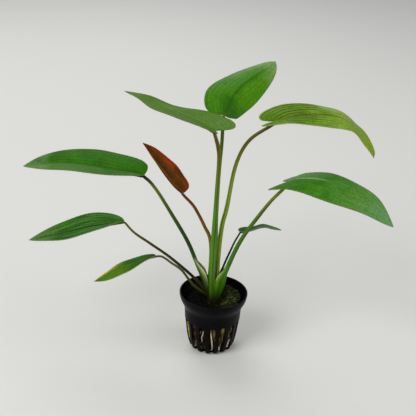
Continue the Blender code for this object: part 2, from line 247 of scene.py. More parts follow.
# %% Measures of the nine leaves, in millimetres and degrees
# facing is the compass angle of the upper face, from +X towards +Y. sheath gives the heights where a stalk
# starts to broaden and is fully broad, how far its front and back edges then wrap the others, and the share
# of that width which is left at its foot. waist is the share of the length at which a blade is pinched, and
# how much of its width is lost there.
LEAVES = {
    "top": dict(
        stalk=((1, 5, 48), (0.9, 7.5, 66), (0, 9.5, 88), (-0.8, 11, 114), (-0.3, 14, 151), (1, 18, 176),
               (2, 22, 190)),
        stalk_radius=(1.9, 1.3), sheath=(82, 60, 4, 4, 0.6),
        midrib=((2, 22, 193), (5, 29, 201), (13, 42, 209), (25, 58, 215), (41, 76, 221)),
        half_width=21.5, facing=71, lobes=(0, 4), right_tilt=(-74, -65, -40), left_tilt=(34, -1, 2),
        widest=0.32, square=2.25, sinus=(0.85, 0.72), taper=1.84, tip=0.64,
    ),
    "upper_left": dict(
        stalk=((-1.5, -4.3, 48), (-2.1, -4, 66), (-2.1, -3, 89), (-1.5, -3, 127), (-1, -3, 164),
               (-2, -4, 177), (-3.6, -5.8, 185), (-4.6, -8.2, 189.5)),
        stalk_radius=(2.9, 1.3), sheath=(70, 50, 3, 3, 0.8),
        midrib=((-5.3, -10, 192.6), (-10.5, -6, 194), (-17, -1, 196), (-27, 6, 198), (-45, 17, 200),
                (-60, 27, 203), (-76, 36, 204)),
        half_width=22, facing=148, lobes=(11, 12), right_tilt=(20, -5, 3), left_tilt=(32, 15, 14),
        widest=0.21, square=2.5, sinus=(0.9, 1.1), taper=1.18, tip=0.86,
    ),
    "upper_right": dict(
        stalk=((2.9, 0.8, 48), (2.3, 2, 81), (4, 3, 108), (7, 4, 124), (12, 6, 159), (21, 8, 179),
               (37, 9, 193)),
        stalk_radius=(2.1, 1.2), sheath=(84, 58, 4, 4, 0.6),
        midrib=((41, 9, 196), (51, 10, 199), (68, 12, 201), (83, 13, 200), (93, 13, 197), (101.5, 13, 190.5),
                (109.5, 13, 181), (117, 12, 168.5)),
        half_width=18, facing=8, lobes=(17, 17), right_tilt=(22, -9, 3), left_tilt=(29, 10, 42),
        widest=0.22, square=2.15, sinus=(1.6, 1.6), taper=1.15, tip=0.32, waist=(0.7, 0.35),
    ),
    "left": dict(
        stalk=((-4.2, 0, 48), (-12, 0, 68), (-22, 1, 93), (-37, 2, 119), (-51, 4, 141), (-57, 5, 147)),
        stalk_radius=(1.9, 1.2), sheath=(81, 66, 8, 7, 0.3),
        midrib=((-58, 5, 148), (-78, 7, 150), (-100, 9, 152), (-123, 11, 152), (-152, 13, 147)),
        half_width=20.5, facing=184, lobes=(5, 3), right_tilt=(27, 22, 37), left_tilt=(24, 12, 9),
        widest=0.35, square=2.3, sinus=(0.9, 0.9), taper=1.8, tip=0.85,
    ),
    "lower_left": dict(
        stalk=((-2, 1, 43), (-13, 6, 55), (-35, 8, 74), (-53, 10, 86), (-65, 11, 94), (-73, 12, 103)),
        stalk_radius=(1.5, 0.9), sheath=(52, 44, 3, 3, 0.6),
        midrib=((-74, 12, 104), (-89, 12, 100), (-107, 11, 96), (-125, 9, 91), (-149, 6, 86)),
        half_width=15, facing=190, lobes=(0.5, 0.5), right_tilt=(25, 27, 32), left_tilt=(35, 12, 8),
        widest=0.38, square=1.7, sinus=(1.2, 1.2), taper=1.6, tip=0.85,
    ),
    "bottom_left": dict(
        stalk=((-2, -1, 44), (-16, -4, 57), (-26, -7, 72), (-35, -9, 80), (-42, -10, 86), (-46, -11, 87)),
        stalk_radius=(1.2, 0.8), sheath=(52, 44, 3, 3, 0.6),
        midrib=((-47, -11, 87), (-59, -14, 84), (-72, -18, 79), (-84, -22, 73), (-93, -25, 69)),
        half_width=10, facing=190, lobes=(1, 0.5), right_tilt=(-11, -2, 5), left_tilt=(29, 4, -12),
        widest=0.41, square=2.1, sinus=(0.95, 0.95), taper=1.8, tip=0.85,
    ),
    "red": dict(
        stalk=((-2.6, 4.4, 48), (-4, 9, 88), (-10, 10, 104), (-19, 12, 120), (-27, 13, 130)),
        stalk_radius=(1.8, 1.1), sheath=(84, 60, 4, 4, 0.6),
        midrib=((-27, 13, 131), (-34, 15, 136), (-42, 16, 145), (-50, 18, 155), (-60, 20, 168)),
        half_width=13.5, facing=168, lobes=(3, 1.5), right_tilt=(34, 31, 29), left_tilt=(33, 31, 27),
        widest=0.35, square=2.1, sinus=(0.95, 0.95), taper=1.8, tip=0.85,
    ),
    "right": dict(
        stalk=((4.2, -2.8, 48), (7.5, -3.4, 60), (9.5, -4, 73), (19, -5, 100), (32, -7, 124), (42, -8, 140),
               (50, -9, 152)),
        stalk_radius=(2.3, 1.2), sheath=(77, 62, 8, 6, 0.8),
        midrib=((51, -9, 154), (60, -13, 159), (75, -20, 162), (92, -28, 160), (110, -37, 153),
                (127, -45, 138)),
        half_width=20.5, facing=-31, lobes=(15, 14), right_tilt=(12, -19, -18), left_tilt=(4, -1, 16),
        widest=0.25, square=2.75, sinus=(0.99, 0.76), taper=1.72, tip=0.84,
    ),
    "small_right": dict(
        stalk=((4.4, 3.8, 48), (6, 8, 65), (13, 11, 85), (18, 13, 97)),
        stalk_radius=(1.1, 0.7), sheath=(70, 56, 3, 3, 0.6),
        midrib=((19, 13, 99), (27, 15, 100), (36, 17, 102), (44, 18, 101), (52, 19, 99)),
        half_width=7, facing=-5, lobes=(1, 2.5), right_tilt=(21, 29, 12), left_tilt=(12, -3, 10),
        widest=0.34, square=2.3, sinus=(0.95, 0.95), taper=1.9, tip=0.85,
    ),
}
print("leaves:", ", ".join(LEAVES))

# %% The outline of a leaf, and any place on it
EDGE_TURN = 0.42  # the share of the way round an edge at which the leaf is widest
BLADE_CAMBER = 12.0  # degrees that each half curls from its midrib to its edge
BASE_SOFTNESS = 0.12  # share of the length over which the lobes blend into the blade
WAIST_SPREAD = 0.09  # share of the length over which a blade that has a waist narrows and widens again
RIB_STEPS = 120


def edge_place(leaf, half, way, length):
    """How far along the midrib and how far out the edge of a half is. Half 0 is the right one, 1 the left."""
    if way <= EDGE_TURN:
        turn = math.pi / 2 * way / EDGE_TURN
        along = leaf["widest"] * length * (1 - math.cos(turn) ** (2 / leaf["square"]))
        along -= leaf["lobes"][half] * MM * math.sin(2 * turn)
        return along, leaf["half_width"] * MM * math.sin(turn) ** leaf["sinus"][half]
    share = math.sin(math.pi / 2 * (way - EDGE_TURN) / (1 - EDGE_TURN))
    width = max(0.0, 1 - share ** leaf["taper"]) ** leaf["tip"]
    along = leaf["widest"] + (1 - leaf["widest"]) * share
    waist, depth = leaf.get("waist", (0, 0))
    width *= 1 - depth * math.exp(-((along - waist) / WAIST_SPREAD) ** 2)
    return length * along, leaf["half_width"] * MM * width


def rib_place(leaf, route, share):
    """A place on the midrib, the way it heads there, and the ways to its right and up from the blade."""
    middle, heading = on_route(route, share)
    facing = math.radians(leaf["facing"])
    side = square_to(heading, Vector((math.sin(facing), -math.cos(facing), 0)))
    return middle, heading, side, side.cross(heading)


def tilt_at(leaf, half, share):
    """How steeply a half rises from the midrib at a share of the length, in degrees."""
    base, half_way, end = leaf["left_tilt"] if half else leaf["right_tilt"]
    rest = 1 - share
    return base * rest * (1 - 2 * share) + 4 * half_way * share * rest + end * share * (2 * share - 1)


def blade_up(leaf, share, side, above):
    """The way up from a blade, half way between the upper faces of its two halves."""
    right, left = (math.radians(tilt_at(leaf, half, share)) for half in (0, 1))
    up = side * (math.sin(left) - math.sin(right)) + above * (math.cos(left) + math.cos(right))
    return up.normalized()


def blade_place(leaf, route, length, way, across):
    """A place on a blade, how far along it is and how far out. across runs from -1, left, to 1, right."""
    half = 0 if across > 0 else 1
    along, out = edge_place(leaf, half, way, length)
    if way < EDGE_TURN:
        rib_along = leaf["widest"] * length * (way / EDGE_TURN) ** 1.2
        along = rib_along + (along - rib_along) * abs(across)
    out *= abs(across)
    share = min(max(along / length, 0), 1)
    middle, heading, side, above = rib_place(leaf, route, share)
    middle += heading * min(along, 0)
    share = min(0.5 * (along / length + math.hypot(along / length, BASE_SOFTNESS)), 1)
    side, above = rib_place(leaf, route, share)[2:]
    tilt = math.radians(tilt_at(leaf, half, share) + BLADE_CAMBER * (0.5 - abs(across)))
    outward = side * (-math.cos(tilt) if half else math.cos(tilt)) + above * math.sin(tilt)
    return middle + outward * out, share, out


# %% [markdown]
# ## Veins, quilting and waves
#
# The veins of this plant leave the stalk together, run side by side along the blade and meet again at the
# tip. The mesh follows them: one row of it is one share of the half width all the way, so a vein is a
# groove at a fixed share. Between the veins the blade swells into small cushions, and its edge waves a
# little. Bump in the material could fake the first two, but only a moved mesh gives the edge its waves and
# the skin its broken sheen from every side, so all three are moved along the normals.

# %% Relief of a blade
VEIN_STEP = 0.18  # share of the half width from one vein to the next
RIB_GROOVE = (0.32, 1.0)  # depth and half width of a groove, in mm
VEIN_GROOVE = (0.07, 0.6)
CUSHION_HEIGHT = 0.14  # mm
CUSHION_LENGTH = 3.4  # mm
EDGE_WAVE = 0.3  # mm
EDGE_WAVES = 2.1  # along the blade
WAVE_LAG = 1.3  # radians that the right edge runs ahead of the left one


def relief(leaf_number, share, across, out, length):
    """How far a place on a blade stands above the even sheet, in mm."""
    from_rib = out / MM
    height = -RIB_GROOVE[0] * math.exp(-(from_rib / RIB_GROOVE[1]) ** 2) * (1 - share)
    phase = abs(across) / VEIN_STEP
    nearest = round(phase)
    if nearest and abs(across) > 0.01:
        off = abs(phase - nearest) * VEIN_STEP * from_rib / abs(across)
        height -= VEIN_GROOVE[0] * math.exp(-(off / VEIN_GROOVE[1]) ** 2)
    swell = math.sin(math.pi * phase) ** 2
    beat = math.sin(2 * math.pi * share * length / MM / CUSHION_LENGTH + 2.5 * phase + leaf_number)
    height += CUSHION_HEIGHT * swell * (0.5 + 0.5 * beat) * (1 - share ** 4)
    wave = math.sin(2 * math.pi * (share * EDGE_WAVES + 0.37 * leaf_number) + (WAVE_LAG if across > 0 else 0))
    return height + EDGE_WAVE * wave * abs(across) ** 3 * min(1, from_rib / 8)


# %% [markdown]
# ## Leaf skin
#
# A leaf is a thin wet skin over green cells. The skin is what gives the satin gloss, and the cells give
# the colour, which is never even: it pales over the veins, deepens in patches, and turns yellow, brown or
# red where the leaf is young, old or in strong light. A painted picture could give that too, but here the
# pattern is worked out from two values that the mesh carries, how far along and how far across a place is.
# It bends with the leaf, stays sharp near by, and one recipe serves all nine leaves. Some of the zones
# are painted sheen, and a few are painted light and painted shade.

# %% Material of a leaf
PATCH_SIZE = 11  # mm
UNDERSIDE_PATCH = 6  # mm
STREAK_LENGTH = 22  # mm
CELL_SIZE = 1.6  # mm, drawn coarser than the real cells so that they show


def leaf_skin(name, look, length):
    """The upper skin of a leaf: a thin waxy film over green cells, satin, with a faint grey sheen, partly
    painted sheen in its colour.
    """
    skin, tree, shader = new_material(name)
    along = add_node(tree, "Attribute", {}, attribute_name="along").outputs["Fac"]
    across = add_node(tree, "Attribute", {}, attribute_name="across").outputs["Fac"]
    place = add_node(tree, "TexCoord", {}).outputs["Object"]
    out = add_node(tree, "Math", {0: across}, operation="ABSOLUTE").outputs[0]

    patches = add_node(tree, "TexNoise", {"Vector": place, "Scale": 1 / (PATCH_SIZE * MM), "Detail": 3.0})
    ground = add_node(tree, "MapRange", {"Value": patches.outputs["Fac"], "From Min": 0.35, "From Max": 0.65})
    color = add_node(tree, "Mix", {0: ground.outputs[0], 6: look["deep"], 7: look["face"]}, data_type="RGBA")

    # a zone shades in along the blade and across it, with an uneven border. Some zones are painted sheen,
    # and a few are painted light and painted shade
    wander = add_node(tree, "MapRange", {"Value": patches.outputs["Fac"], "To Min": -0.2, "To Max": 0.2})
    loose_along = add_node(tree, "Math", {0: along, 1: wander.outputs[0]}, operation="ADD").outputs[0]
    loose_across = add_node(tree, "Math", {0: across, 1: wander.outputs[0]}, operation="ADD").outputs[0]
    for zone_color, (start, end), (inner, outer), amount in look["tint_and_painted_light_zones"]:
        lengthwise = add_node(tree, "MapRange", {
            "Value": loose_along, "From Min": start, "From Max": end, "To Max": amount},
            interpolation_type="SMOOTHSTEP")
        crosswise = add_node(tree, "MapRange", {
            "Value": loose_across, "From Min": inner, "From Max": outer}, interpolation_type="SMOOTHSTEP")
        both = add_node(tree, "Math", {0: lengthwise.outputs[0], 1: crosswise.outputs[0]},
                        operation="MULTIPLY")
        color = add_node(tree, "Mix", {0: both.outputs[0], 6: color.outputs[2], 7: zone_color},
                         data_type="RGBA")

    # streaks lie along the veins, because both are drawn from the same two values. The third number only
    # moves the pattern, so that each leaf has streaks of its own
    scaled_across = add_node(tree, "Math", {0: across, 1: look["streaks_across"]}, operation="MULTIPLY")
    scaled_along = add_node(tree, "Math", {0: along, 1: length / (STREAK_LENGTH * MM)}, operation="MULTIPLY")
    streak_place = add_node(tree, "CombineXYZ", {
        "X": scaled_across.outputs[0], "Y": scaled_along.outputs[0], "Z": look["vein_fade"] * 9})
    streaks = add_node(tree, "TexNoise", {"Vector": streak_place.outputs[0], "Scale": 1.0, "Detail": 4.0})
    streaked = add_node(tree, "MapRange", {"Value": streaks.outputs["Fac"], "From Min": 0.44,
                                           "From Max": 0.64, "To Max": look["streak_amount"]})
    color = add_node(tree, "Mix", {0: streaked.outputs[0], 6: color.outputs[2], 7: look["streak"]},
                     data_type="RGBA")

    # the veins are faint in the lobes, strongest just past them and fade towards the tip
    fade = add_node(tree, "MapRange", {"Value": along, "From Min": 0.05, "From Max": look["vein_fade"],
                                       "To Min": 1.0, "To Max": 0.25}, interpolation_type="SMOOTHSTEP")
    off_lobe = add_node(tree, "MapRange", {"Value": along, "From Min": 0.0, "From Max": 0.12, "To Min": 0.25})
    fade = add_node(tree, "Math", {0: fade.outputs[0], 1: off_lobe.outputs[0]}, operation="MULTIPLY")
    from_vein = add_node(tree, "Math", {0: out, 1: VEIN_STEP / 2}, operation="PINGPONG").outputs[0]
    vein = add_node(tree, "MapRange", {"Value": from_vein, "From Min": 0.0, "From Max": look["vein_width"],
                                       "To Min": 1.0, "To Max": 0.0}, interpolation_type="SMOOTHSTEP")

    # short cross veins join them, and both are broken up by the streaks
    slant = add_node(tree, "Math", {0: from_vein, 1: 3.0}, operation="MULTIPLY").outputs[0]
    cross = add_node(tree, "Math", {0: along, 1: length / MM / CUSHION_LENGTH, 2: slant},
                     operation="MULTIPLY_ADD").outputs[0]
    cross = add_node(tree, "Math", {0: cross, 1: 0.5}, operation="PINGPONG").outputs[0]
    cross = add_node(tree, "MapRange", {"Value": cross, "From Min": 0.0, "From Max": 0.12, "To Min": 0.35,
                                        "To Max": 0.0}, interpolation_type="SMOOTHSTEP").outputs[0]
    lines = add_node(tree, "Math", {0: vein.outputs[0], 1: cross}, operation="MAXIMUM").outputs[0]
    broken = add_node(tree, "MapRange", {"Value": streaks.outputs["Fac"], "From Min": 0.42, "From Max": 0.56})
    drawn = lines
    for share in (broken.outputs[0], fade.outputs[0], look["vein_amount"]):
        drawn = add_node(tree, "Math", {0: drawn, 1: share}, operation="MULTIPLY").outputs[0]
    color = add_node(tree, "Mix", {0: drawn, 6: color.outputs[2], 7: look["vein"]}, data_type="RGBA")

    # the midrib has a colour and an end of its own, and the margin is thin and paler
    rib_color, rib_width, rib_amount, rib_end = look["rib"]
    rib = add_node(tree, "MapRange", {"Value": out, "From Min": rib_width / 2, "From Max": rib_width,
                                      "To Min": rib_amount, "To Max": 0.0}, interpolation_type="SMOOTHSTEP")
    rib_fade = add_node(tree, "MapRange", {"Value": along, "From Min": rib_end / 2, "From Max": rib_end,
                                           "To Min": 1.0, "To Max": 0.0}, interpolation_type="SMOOTHSTEP")
    rib = add_node(tree, "Math", {0: rib.outputs[0], 1: rib_fade.outputs[0]}, operation="MULTIPLY")
    color = add_node(tree, "Mix", {0: rib.outputs[0], 6: color.outputs[2], 7: rib_color}, data_type="RGBA")
    margin = add_node(tree, "MapRange", {"Value": out, "From Min": 0.93, "From Max": 0.99, "To Max": 0.6})
    color = add_node(tree, "Mix", {0: margin.outputs[0], 6: color.outputs[2], 7: look["margin"]},
                     data_type="RGBA")

    # small cells of tissue are a little lighter or darker than their neighbours
    cells = add_node(tree, "TexNoise", {"Vector": place, "Scale": 1 / (CELL_SIZE * MM), "Detail": 3.0})
    cells = cells.outputs["Fac"]
    light = add_node(tree, "MapRange", {"Value": cells, "From Min": 0.3, "From Max": 0.7, "To Min": 0.8,
                                        "To Max": 1.2})
    color = add_node(tree, "HueSaturation", {"Value": light.outputs[0], "Color": color.outputs[2]})
    tree.links.new(color.outputs["Color"], shader.inputs["Base Color"])

    height = add_node(tree, "Math", {0: lines, 1: -0.8, 2: cells}, operation="MULTIPLY_ADD").outputs[0]
    bump = add_node(tree, "Bump", {"Height": height, "Strength": 0.5, "Distance": 0.2 * MM})
    tree.links.new(bump.outputs[0], shader.inputs["Normal"])
    gloss = add_node(tree, "MapRange", {"Value": cells, "To Min": look["roughness"] - 0.06,
                                        "To Max": look["roughness"] + 0.06})
    tree.links.new(gloss.outputs[0], shader.inputs["Roughness"])
    shader.inputs["Specular IOR Level"].default_value = 0.035
    return skin


def leaf_underside(name, look):
    """The lower skin of a leaf, which is paler and duller because air sits behind it."""
    skin, tree, shader = new_material(name)
    place = add_node(tree, "TexCoord", {}).outputs["Object"]
    patches = add_node(tree, "TexNoise", {"Vector": place, "Scale": 1 / (UNDERSIDE_PATCH * MM),
                                          "Detail": 4.0})
    color = add_node(tree, "Mix", {0: patches.outputs["Fac"], 6: look["face"], 7: look["under"]},
                     data_type="RGBA")
    across = add_node(tree, "Attribute", {}, attribute_name="across").outputs["Fac"]
    out = add_node(tree, "Math", {0: across}, operation="ABSOLUTE").outputs[0]
    from_vein = add_node(tree, "Math", {0: out, 1: VEIN_STEP / 2}, operation="PINGPONG").outputs[0]
    vein = add_node(tree, "MapRange", {"Value": from_vein, "From Min": 0.0, "From Max": 0.03, "To Min": 0.5,
                                       "To Max": 0.0}, interpolation_type="SMOOTHSTEP")
    color = add_node(tree, "Mix", {0: vein.outputs[0], 6: color.outputs[2], 7: look["margin"]},
                     data_type="RGBA")
    tree.links.new(color.outputs[2], shader.inputs["Base Color"])
    bump = add_node(tree, "Bump", {"Height": vein.outputs[0], "Strength": 0.6, "Distance": 0.2 * MM})
    tree.links.new(bump.outputs[0], shader.inputs["Normal"])
    shader.inputs["Roughness"].default_value = 0.55
    return skin


# %% Colours of the nine leaves
# a zone is a colour, the shares along the leaf between which it shades in, the same across it, and its
# amount.
# Some zones are painted sheen, light and shade, as noted at each leaf
EVERYWHERE = (-9, -8)
PLAIN_LOOK = dict(
    streak="4A8A1C", streak_amount=0.3, streaks_across=16, vein="1C4A08", vein_width=0.03, vein_amount=0.4,
    vein_fade=0.7, rib=("2A5A0A", 0.05, 0.3, 1.0), margin="6E9A3A", under="5E8A48", roughness=0.42, tint_and_painted_light_zones=())
LOOKS = {
    "top": dict(
        PLAIN_LOOK, deep="3A720E", face="447E14", streak="2E6C14", vein="1E5206", vein_amount=0.5,
        vein_fade=0.35, rib=("2A5A0A", 0.07, 0.5, 0.7), margin="4E7A1A", tint_and_painted_light_zones=(
            # painted light: 54940C lightens the right half where light falls on it, and 1E5204 is painted
            # shade in the fold beside the rib near the stalk
            ("54940C", EVERYWHERE, (0.0, 0.2), 0.95), ("1E5204", (0.4, 0.1), (-0.45, -0.05), 0.6),
            # painted sheen: 6C8852 greys the outer left half, and 88A468 greys the tip
            ("6C8852", (0.25, 0.75), (-0.25, -0.9), 0.9), ("88A468", (0.72, 1.0), EVERYWHERE, 1.0))),
    "upper_left": dict(
        PLAIN_LOOK, deep="426C14", face="507A1A", streak="5A7A24", streak_amount=0.4, vein="38561A",
        vein_amount=0.5, vein_fade=1.2, rib=("8A7A5A", 0.05, 0.4, 0.7), margin="7A6A3A", tint_and_painted_light_zones=(
            # painted sheen: 5A7E40 greys the blade near the stalk
            ("5A7E40", (0.3, 0.1), EVERYWHERE, 0.5), ("3A641A", EVERYWHERE, (-0.05, -0.35), 0.4))),
    "upper_right": dict(
        PLAIN_LOOK, deep="4E740C", face="5E8814", streak="7AA034", vein="34140A", vein_width=0.045,
        vein_amount=1.5, vein_fade=0.6, rib=("4A2A10", 0.05, 0.8, 0.9), margin="8FA64A", tint_and_painted_light_zones=(
            # painted sheen: A2AC92 greys the left half before the bend, and 8C9E5C greys the bend
            ("A2AC92", (0.3, 0.5), (-0.2, -0.7), 0.7), ("86A63A", (0.25, 0.55), EVERYWHERE, 0.8),
            ("8C9E5C", (0.5, 0.65), (0.2, -0.4), 0.9), ("84A222", (0.7, 0.82), EVERYWHERE, 1.0))),
    "left": dict(
        PLAIN_LOOK, deep="245C06", face="306E06", streak="567E22", streak_amount=0.25, vein="123804",
        vein_amount=0.5, vein_fade=1.1, margin="6A7A3A", tint_and_painted_light_zones=(
            # painted sheen: 4A7030 and 4E7638 grey the left half from the stalk to the middle
            ("2A6C00", (0.5, 0.15), (0.05, 0.35), 1.0), ("4A7030", (0.3, 0.5), (0.1, -0.3), 0.8),
            ("4E7638", (0.3, 0.0), (0.1, -0.4), 0.8), ("62824E", (0.72, 1.0), EVERYWHERE, 1.0))),
    "lower_left": dict(
        PLAIN_LOOK, deep="1E5006", face="2E6608", streak="628E4A", streak_amount=0.55, streaks_across=8,
        vein="0E3204", vein_amount=0.9, vein_fade=1.6, rib=("123A06", 0.12, 0.7, 1.6), tint_and_painted_light_zones=(
            ("3A4C24", (0.3, 0.05), (0.4, -0.1), 0.8), ("2A5008", EVERYWHERE, (0.05, -0.3), 0.4),
            ("5A783A", (0.6, 1.0), EVERYWHERE, 1.0))),
    "bottom_left": dict(
        PLAIN_LOOK, deep="1E4A04", face="286008", streak="467020", streak_amount=0.35, margin="A2AE74",
        tint_and_painted_light_zones=(
            ("527A1A", (0.3, 0.65), EVERYWHERE, 1.0), ("CABA1E", (0.5, 0.75), (0.2, 0.7), 1.0),
            ("2C3C14", (0.35, 0.05), EVERYWHERE, 0.9))),
    "red": dict(
        PLAIN_LOOK, deep="643A0E", face="804A18", streak="3A240A", streak_amount=0.75, vein="5A5A14",
        vein_amount=0.5, vein_fade=1.5, rib=("3A1E08", 0.06, 0.5, 1.2), margin="94420E", under="7A3A18",
        tint_and_painted_light_zones=(
            # painted light: C23E0E is a bright red band over the outer right half, light shining through the
            # blade painted into its colour
            ("C23E0E", (0.2, 0.5), (0.45, 0.85), 1.0), ("A4480C", (0.3, 0.0), (0.2, 0.8), 0.9),
            ("8A4A14", (0.4, 0.0), (-0.3, -0.8), 0.6))),
    "right": dict(
        PLAIN_LOOK, deep="346E12", face="427E1C", streak="3A7618", streak_amount=0.4, vein="2A6214",
        # painted highlight: the pale rib colour 9ABA8A is a gloss line painted along the midrib
        vein_fade=1.2, rib=("9ABA8A", 0.05, 0.7, 0.45), margin="6E7A3A", tint_and_painted_light_zones=(
            ("6E905A", (0.4, 0.12), (0.3, -0.3), 0.8), ("568636", (0.35, 0.6), EVERYWHERE, 1.0),
            ("6C9A60", (0.65, 0.95), EVERYWHERE, 1.0))),
    "small_right": dict(
        PLAIN_LOOK, deep="26421E", face="3A5230", margin="8AA880", tint_and_painted_light_zones=(
            ("54694A", (0.3, 0.8), EVERYWHERE, 1.0),)),
}

# %% [markdown]
# ## Blades
#
# A blade is less than half a millimetre thick. It could be drawn as an outline and filled, but a filled
# outline has no rows of cells to bend. So each blade starts as an even grid. Every corner of the grid is
# moved to its own place on the leaf and is told how far along and across it is, and a thickness is added
# last, with the pale underside on its lower face.

# %% Blades
BLADE_ROWS = 130
BLADE_COLUMNS = 64
BLADE_THICKNESS = 0.45  # mm


def build_blade(number, name, leaf):
    """A blade: an even grid that takes the leaf's outline, then its folds, then its relief."""
    route, length = smooth_route(leaf["midrib"], RIB_STEPS)
    form = bmesh.new()
    bmesh.ops.create_grid(form, x_segments=BLADE_ROWS, y_segments=BLADE_COLUMNS, size=1)
    bmesh.ops.reverse_faces(form, faces=form.faces)
    along_layer = form.verts.layers.float.new("along")
    across_layer = form.verts.layers.float.new("across")
    heights = []
    for corner in form.verts:
        way, across = (corner.co.x + 1) / 2, corner.co.y
        corner.co, share, out = blade_place(leaf, route, length, way, across)
        corner[along_layer] = share
        corner[across_layer] = across
        heights.append(relief(number, share, across, out, length) * MM)
    form.normal_update()
    for corner, height in zip(form.verts, heights):
        corner.co += corner.normal * height
    bmesh.ops.remove_doubles(form, verts=form.verts, dist=0.005 * MM)
    skins = [leaf_skin(name + "_leaf_skin", LOOKS[name], length),
             leaf_underside(name + "_leaf_underside", LOOKS[name])]
    blade = finish_piece(form, name + "_leaf", skins, name + "_blade")
    sheet = blade.modifiers.new("thickness", "SOLIDIFY")
    sheet.thickness = BLADE_THICKNESS * MM
    sheet.offset = -1
    sheet.material_offset = 1


for number, (name, leaf) in enumerate(LEAVES.items()):
    build_blade(number, name, leaf)
print("blades:", len(LEAVES), "of", BLADE_ROWS * BLADE_COLUMNS, "cells")

# %% [markdown]
# ## Stalks
#
# A stalk is a rod with shallow ridges that runs from the crown to its leaf and on under the blade, where
# it fades out as the midrib's keel. A rod is a grid that is rolled up: one way round it is the angle, the
# other way is the distance along. A curve with a round bevel would be quicker, but it could not broaden
# into a sheath: low on the plant each stalk becomes a crescent that wraps the stalks inside it, with thin
# pale edges.

# %% Rolling up a grid, and the frame of a rod
def roll_up(form, steps, sides, place, layers=()):
    """Adds a tube. place turns the share along it and the share round it into a position and layer values."""
    corners = bmesh.ops.create_grid(form, x_segments=steps, y_segments=sides, size=1)["verts"]
    for corner in corners:
        corner.co, *values = place((corner.co.x + 1) / 2, (corner.co.y + 1) / 2)
        for layer, value in zip(layers, values):
            corner[layer] = value
    bmesh.ops.remove_doubles(form, verts=corners, dist=0.001 * MM)


def rolled_piece(name, node, finish, steps, sides, place, values=()):
    """Makes a piece that is one rolled tube with closed ends, and layers for the values it carries."""
    form = bmesh.new()
    layers = [form.verts.layers.float.new(value) for value in values]
    roll_up(form, steps, sides, place, layers)
    bmesh.ops.holes_fill(form, edges=form.edges, sides=0)
    bmesh.ops.recalc_face_normals(form, faces=form.faces)
    finish_piece(form, name, [finish], node)


def rod_frame(route, share, reference):
    """A place on a route, the way it heads, and two ways across it, the first one nearest to a reference."""
    middle, heading = on_route(route, share)
    outward = square_to(heading, reference)
    return middle, heading, outward, heading.cross(outward)


# %% Material of a stalk
# the values that the mesh of a stalk carries for its colours
STALK_VALUES = ("along", "around", "beside", "thinness", "facing_line")
STALK_STREAK = 30  # mm long
STALK_STREAKS_ROUND = 3.0
SPECK_SIZE = 0.9  # mm
# painted shade: stalks darken low down, where they meet the wool under the leaves
PAINTED_SHADE_FOOT = (43, 55)  # mm above the ground, fully dark and no longer dark


